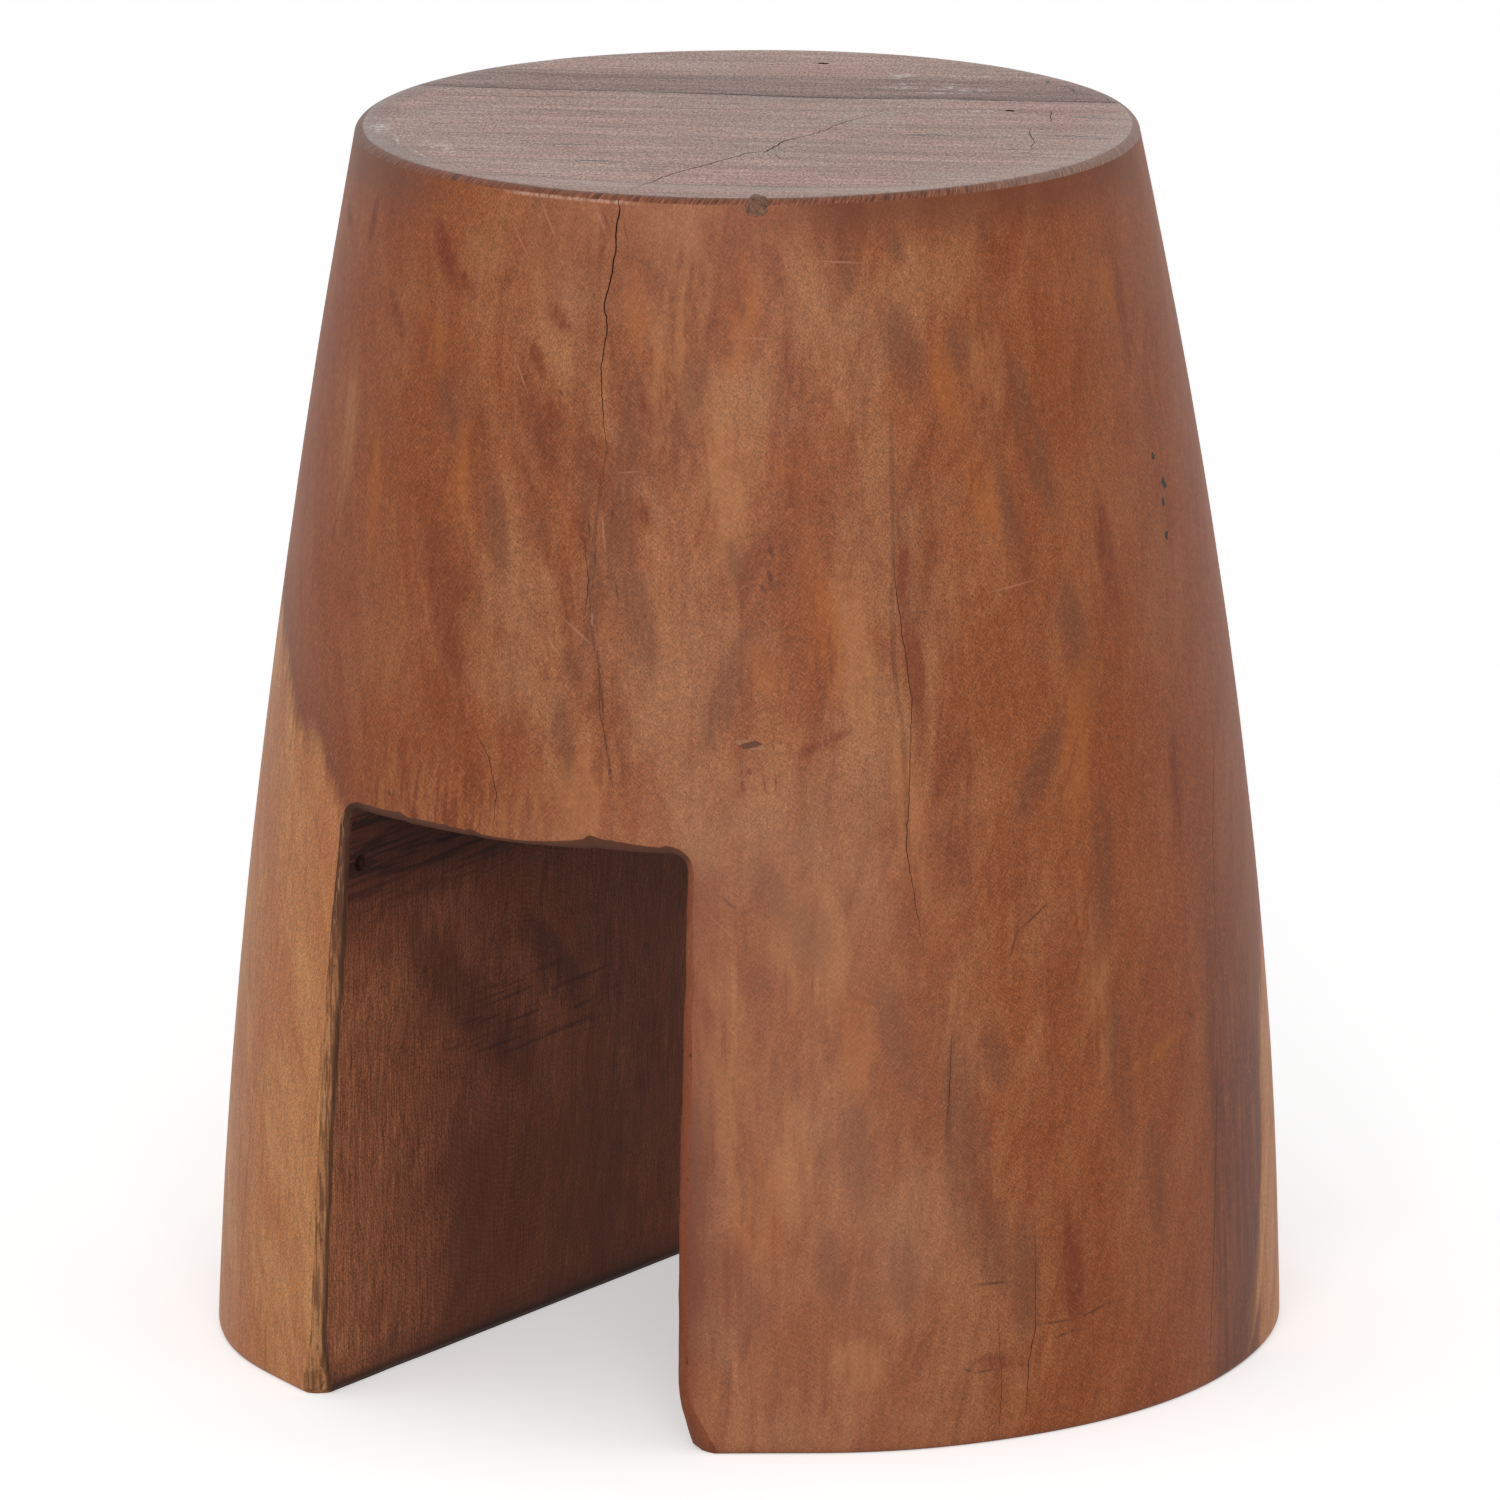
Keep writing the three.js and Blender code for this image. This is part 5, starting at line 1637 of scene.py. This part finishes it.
wall.coat("45201a", 0.8, z=(168, 196))
wall.coat("251009", 0.85, z=(168, 196), Saw=(0.54, 0.42))
wall.coat("2c1610", 0.55, z=(92, 108, 126, 142), y=(-110, -95, -10, 30), Saw=(0.46, 0.34))

arcs = add(tree, VECTOR, "SUBTRACT", plane, SANDER_CENTRE)
arcs = add(tree, VECTOR, "LENGTH", arcs)
arcs = add(tree, MATH, "MULTIPLY_ADD", sway, 6, arcs)
fields["Arcs"] = add(tree, MATH, "SINE", add(tree, MATH, "MULTIPLY", arcs, math.pi))
wall.tone(Arcs=(-1, 1, 0.9, 1.08))

# Darker in a ragged band near the floor
low = add(tree, MATH, "MULTIPLY_ADD", fields["Soft"], 12, fields["z"])
wall.coat("3a1d14", 0.5, add(tree, RANGE, SMOOTH, low, 22, 8))
# Painted shadow along the floor
wall.coat("27120c", 0.8, z=(6, 2))
# Lighter towards the back mouth
wall.coat("8a5038", 0.4, y=(10, 110))
shallow = add(tree, MATH, "MULTIPLY", fields["Arcs"], 0.2)
rough = wall.mask(Fuzz=(LOW, HIGH, 0.6, 0.74))
wall.finish(1.3, rough, 0.45, 0.2, "Fibre", "Fuzz", shallow)

# %% [markdown]
# ### The ceiling
# Nobody sees the ceiling, so it was left as it came from the saw: ridges across the tunnel,
# no oil, and years of dust in the pores.

# %% Ceiling material
ceiling = new_material("rough-sawn hardwood")
ceiling.patterns(ceiling.fields["Place"], {"Ridges": ((1.4, 30, 3), 3, 0.6)})
ceiling.base("4c2c20", "7c4f39", Ridges=(0.35, 0.65))
ceiling.tone(Fuzz=(LOW, HIGH, 0.8, 1.15))
ceiling.finish(1.3, 0.8, 0.8, 0.5, "Ridges", "Fuzz")

# %% [markdown]
# ### The worn bevels
# Hands, feet and brooms rub the arrises. The oil is gone there, and the wood is bruised and
# uneven. The left arris changes most, from dark heartwood at the top to sapwood at the floor.

# %% Bevel material
WALL_LINE_X, WALL_LINE_LEAN = 66.5, -0.0165  # millimetres, and its slope

bevel = new_material("worn and bruised hardwood edge")
tree, fields = bevel.tree, bevel.fields
bevel.patterns(
    fields["Place"], {"Patches": ((4, 4, 7), 4, 0.65), "Streaks": ((1, 1, 30), 3, 0.6)}
)
bevel.coat("7b3d28", 0.6, x=(60, 70))
bevel.coat("563529", 0.9, z=(213, 217.5))
left = bevel.mask(x=(-50, -60))
upper = bevel.mask(left, z=(130, 185))
bevel.coat("46261c", 0.9, upper)
bevel.coat("8a5f42", 0.5, add(tree, MATH, "SUBTRACT", left, upper))
bevel.coat("5d3a26", 0.75, left, Streaks=(0.52, 0.42))
bevel.coat("bd926c", 0.45, left, Streaks=(0.56, 0.64))

# A dark line where the left bevel meets the wall, which leans out towards the floor
to_wall = add(tree, MATH, "ADD", fields["x"], WALL_LINE_X)
to_wall = add(tree, MATH, "MULTIPLY_ADD", fields["z"], WALL_LINE_LEAN, to_wall)
bevel.coat("3d2115", 0.8, left, add(tree, RANGE, SMOOTH, to_wall, -1.7, -0.5))
bevel.coat("311a12", 0.6, Patches=(0.38, 0.32))
bevel.finish(1.3, 0.66, 0.6, 0.4, "Patches", "Fuzz")

# %% [markdown]
# ### Raw wood
# The insides of the splits and the undersides of the feet never met sandpaper or oil. They are
# matt and dry, and dirt has settled in them.

# %% Raw wood inside splits and holes, and under the feet
raw = new_material("raw split wood")
raw.base("21120c", "43281c", Fibre=(LOW, HIGH))
raw.finish(1.25, 0.9, 0.6, 0.2, "Fibre")

foot = new_material("raw end grain underside")
foot.patterns(foot.fields["Place"], {"Rings": ((60, 2, 60), 4, 0.65)}, RING_SLOPE)
foot.base("7c5641", "a07659", Rings=(0.35, 0.65))
foot.coat("bb9268", 0.7, foot.fields["Sapwood"])
foot.coat("4b3a31", 0.6, Cloud=(0.45, 0.62))
foot.tone(Fuzz=(LOW, HIGH, 0.75, 1.2))
foot.finish(1.35, 0.85, 0.3, 0.12, "Rings", "Fuzz")

# %% [markdown]
# ### Inlaid and filled pieces
# The knot at the rim is a cut twig: denser, darker wood with tiny rings and drying cracks. The
# lens in front is bark that the trunk grew over, with a pale lip of scar wood. The check's
# lower part holds paste of glue and sanding dust. The small pits are filled with dark resin,
# the only glossy thing on the stool.

# %% Materials of the inlaid pieces
KNOT_RING = 4.6  # radians of a ring for each millimetre

knot = new_material("cut knot wood")
tree, fields = knot.tree, knot.fields
knot.patterns(fields["Place"], {"Uneven": ((2, 2, 2), 3, 0.6)})
centre = tuple(flank_at(KNOT_PLACE[0], KNOT_PLACE[1] * MM)[0] / MM)
rings = add(tree, VECTOR, "LENGTH", add(tree, VECTOR, "SUBTRACT", fields["Place"], centre))
rings = add(tree, MATH, "MULTIPLY_ADD", fields["Uneven"], 5, rings)
fields["Rings"] = add(tree, MATH, "SINE", add(tree, MATH, "MULTIPLY", rings, KNOT_RING))
knot.base("66422f", "7e5745", Rings=(-1, 1))
knot.coat("3a231a", 0.7, Uneven=(0.42, 0.36))
knot.coat("9b7560", 0.5, Uneven=(0.56, 0.66))
knot.finish(1.35, 0.6, 0.4, 0.12, "Rings", "Fuzz")

paste = new_material("glue and wood dust filler")
paste.base("6f422d", "8b583e", Fuzz=(0.35, 0.65))
paste.coat("b08a76", 0.4, z=(297, 299, 301, 304))
paste.finish(1.3, 0.65, 0.4, 0.1, "Fuzz")

resin = new_material("dark resin filler")
resin.base("120b08", "251811", Fuzz=(LOW, HIGH))
resin.finish(1.33, resin.mask(Fuzz=(LOW, HIGH, 0.4, 0.6)), 0.4, 0.1, "Fuzz")

bark = new_material("ingrown bark and scar wood")
tree = bark.tree
inner = spots(tree, bark.fields["Unrolled"], ((*BARK_PLACE, 5.6, 1.3, 102),), 0.7, ARC)
bark.colour = add(tree, MIX, RGBA, inner, srgb("a26d50"), srgb("6b4432"))
bark.tone(Fuzz=(LOW, HIGH, 0.75, 1.2))
bark.finish(1.3, 0.7, 0.6, 0.3, "Fuzz", add(tree, MATH, "MULTIPLY", inner, -1))

# %% [markdown]
# ### Materials into slots
# The slots are filled in the order of SURFACES. Only then are the faces sorted, because a mesh
# forgets their numbers when its slots are cleared.

# %% Fill the trunk's slots
trunk.data.materials.clear()
for one in (flank, seat, rim, wall, ceiling, bevel, raw, foot):
    trunk.data.materials.append(one.material)
print("faces by surface:", sort_faces(trunk))

# %% [markdown]
# ## Every piece on its frame
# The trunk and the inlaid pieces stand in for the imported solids. They ride on the one body
# that the stool has.

# %% Attach the pieces
PIECES = {
    "trunk": ("trunk_block", "trunk_wood", None),
    "rim_knot_wood": ("rim_knot", "knot_wood", knot),
    "check_filler": ("check_fill", "wood_filler", paste),
    "bark_lens": ("bark_pocket", "bark", bark),
    "pit_resin_1": ("pit_fill_1", "dark_resin", resin),
    "pit_resin_2": ("pit_fill_2", "dark_resin", resin),
    "pit_resin_3": ("pit_fill_3", "dark_resin", resin),
    "pit_resin_4": ("pit_fill_4", "dark_resin", resin),
}
for name, (node, slot, look) in PIECES.items():
    piece = inlays.get(name, trunk)
    if look:
        piece.data.materials.clear()
        piece.data.materials.append(look.material)
    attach(piece, "root")
    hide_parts(node)

for tool in [uncut, tunnel, *splits, slits, *holes, *pockets]:
    bpy.data.objects.remove(tool)
print("pieces:", sorted(PIECES))

# %% [markdown]
# ## Studio
# The photograph was taken with a long lens from about five and a half metres. Its azimuth,
# height and focal length are worked out from the stool's own proportions.

# %% Camera
CAMERA_AZIMUTH = math.radians(33.25)
CAMERA_PITCH = math.radians(13.36)
CAMERA_REACH = 5.5845
CAMERA_HEIGHT = 1.5408
SENSOR = 36  # millimetres
FRAME = 1500  # pixels
FOCAL_PIXELS = 15623
SHIFT_PIXELS = 1.2

camera_data = bpy.data.cameras.new("camera")
camera_data.sensor_width = SENSOR
camera_data.lens = FOCAL_PIXELS / FRAME * SENSOR
camera_data.shift_x = SHIFT_PIXELS / FRAME
camera_data.clip_end = 100
camera = put("camera", camera_data)
side, front = CAMERA_REACH * math.sin(CAMERA_AZIMUTH), -CAMERA_REACH * math.cos(CAMERA_AZIMUTH)
camera.location = (side, front, CAMERA_HEIGHT)
camera.rotation_euler = (math.pi / 2 - CAMERA_PITCH, 0, CAMERA_AZIMUTH)
bpy.context.scene.camera = camera
print("camera:", tuple(camera.location), "with a lens of", camera_data.lens, "mm")

# %% [markdown]
# ### A floor that keeps the shadow
# A white floor alone would look grey wherever less light reaches it. So the camera sees a
# little glow added to the matt white, and only the soft shadow beside the stool stays darker.
# To the stool itself the floor is a plain pale sheet that throws some light back.

# %% Floor
FLOOR_HALF = 12
FLOOR_GLOW = 0.37


def seen_directly(tree):
    """1 where the camera or a glossy reflection looks at a surface, 0 for all other light."""
    paths = add(tree, "ShaderNodeLightPath", out=None).outputs
    return add(tree, MATH, "MAXIMUM", paths["Is Camera Ray"], paths["Is Glossy Ray"])


floor_data = bpy.data.meshes.new("floor")
rim_points = [(a * FLOOR_HALF, b * FLOOR_HALF, 0) for a, b in ((-1, -1), (1, -1), (1, 1), (-1, 1))]
floor_data.from_pydata(rim_points, [], [(0, 1, 2, 3)])
floor = put("floor", floor_data)
material = bpy.data.materials.new("matt white studio floor")
material.use_nodes = True
tree = material.node_tree
tree.nodes.clear()
seen = seen_directly(tree)
colour = add(tree, MIX, RGBA, seen, srgb("c9c6c2"), srgb("ffffff"))
matt = add(tree, "ShaderNodeBsdfDiffuse", None, colour)
glow = add(tree, MATH, "MULTIPLY", seen, FLOOR_GLOW)
glow = add(tree, "ShaderNodeEmission", None, srgb("ffffff"), glow)
both = add(tree, "ShaderNodeAddShader", None, matt, glow)
tree.links.new(both, tree.nodes.new("ShaderNodeOutputMaterial").inputs[0])
floor_data.materials.append(material)
print("floor:", 2 * FLOOR_HALF, "m wide")

# %% [markdown]
# ### Light
# An even white sky gives the soft light from all sides. One large lamp in front, to the right
# of the camera, adds the gentle difference between the two sides of the flank.

# %% World and lamp
SKY_LIGHT = 0.6  # the sky is seen as 1, pure white, but lights the stool with this
LAMP_SIZE = 1.8
LAMP_WATTS = 45
LAMP_PLACE = Vector((1.65, -2.85, 1.35))
LAMP_AIM = Vector((0, 0, 0.22))

world = bpy.data.worlds.new("studio")
world.use_nodes = True
tree = world.node_tree
tree.nodes.clear()
strength = add(tree, RANGE, None, seen_directly(tree), 0, 1, SKY_LIGHT, 1)
background = add(tree, "ShaderNodeBackground", None, srgb("ffffff"), strength)
tree.links.new(background, tree.nodes.new("ShaderNodeOutputWorld").inputs[0])
bpy.context.scene.world = world

lamp_data = bpy.data.lights.new("key", "AREA")
lamp_data.shape = "RECTANGLE"
lamp_data.size = lamp_data.size_y = LAMP_SIZE
lamp_data.energy = LAMP_WATTS
lamp = put("key", lamp_data)
lamp.location = LAMP_PLACE
lamp.rotation_euler = (LAMP_PLACE - LAMP_AIM).to_track_quat("Z", "Y").to_euler()
bpy.context.scene.view_settings.view_transform = "Standard"
print("lamp:", LAMP_WATTS, "W, sky:", SKY_LIGHT)
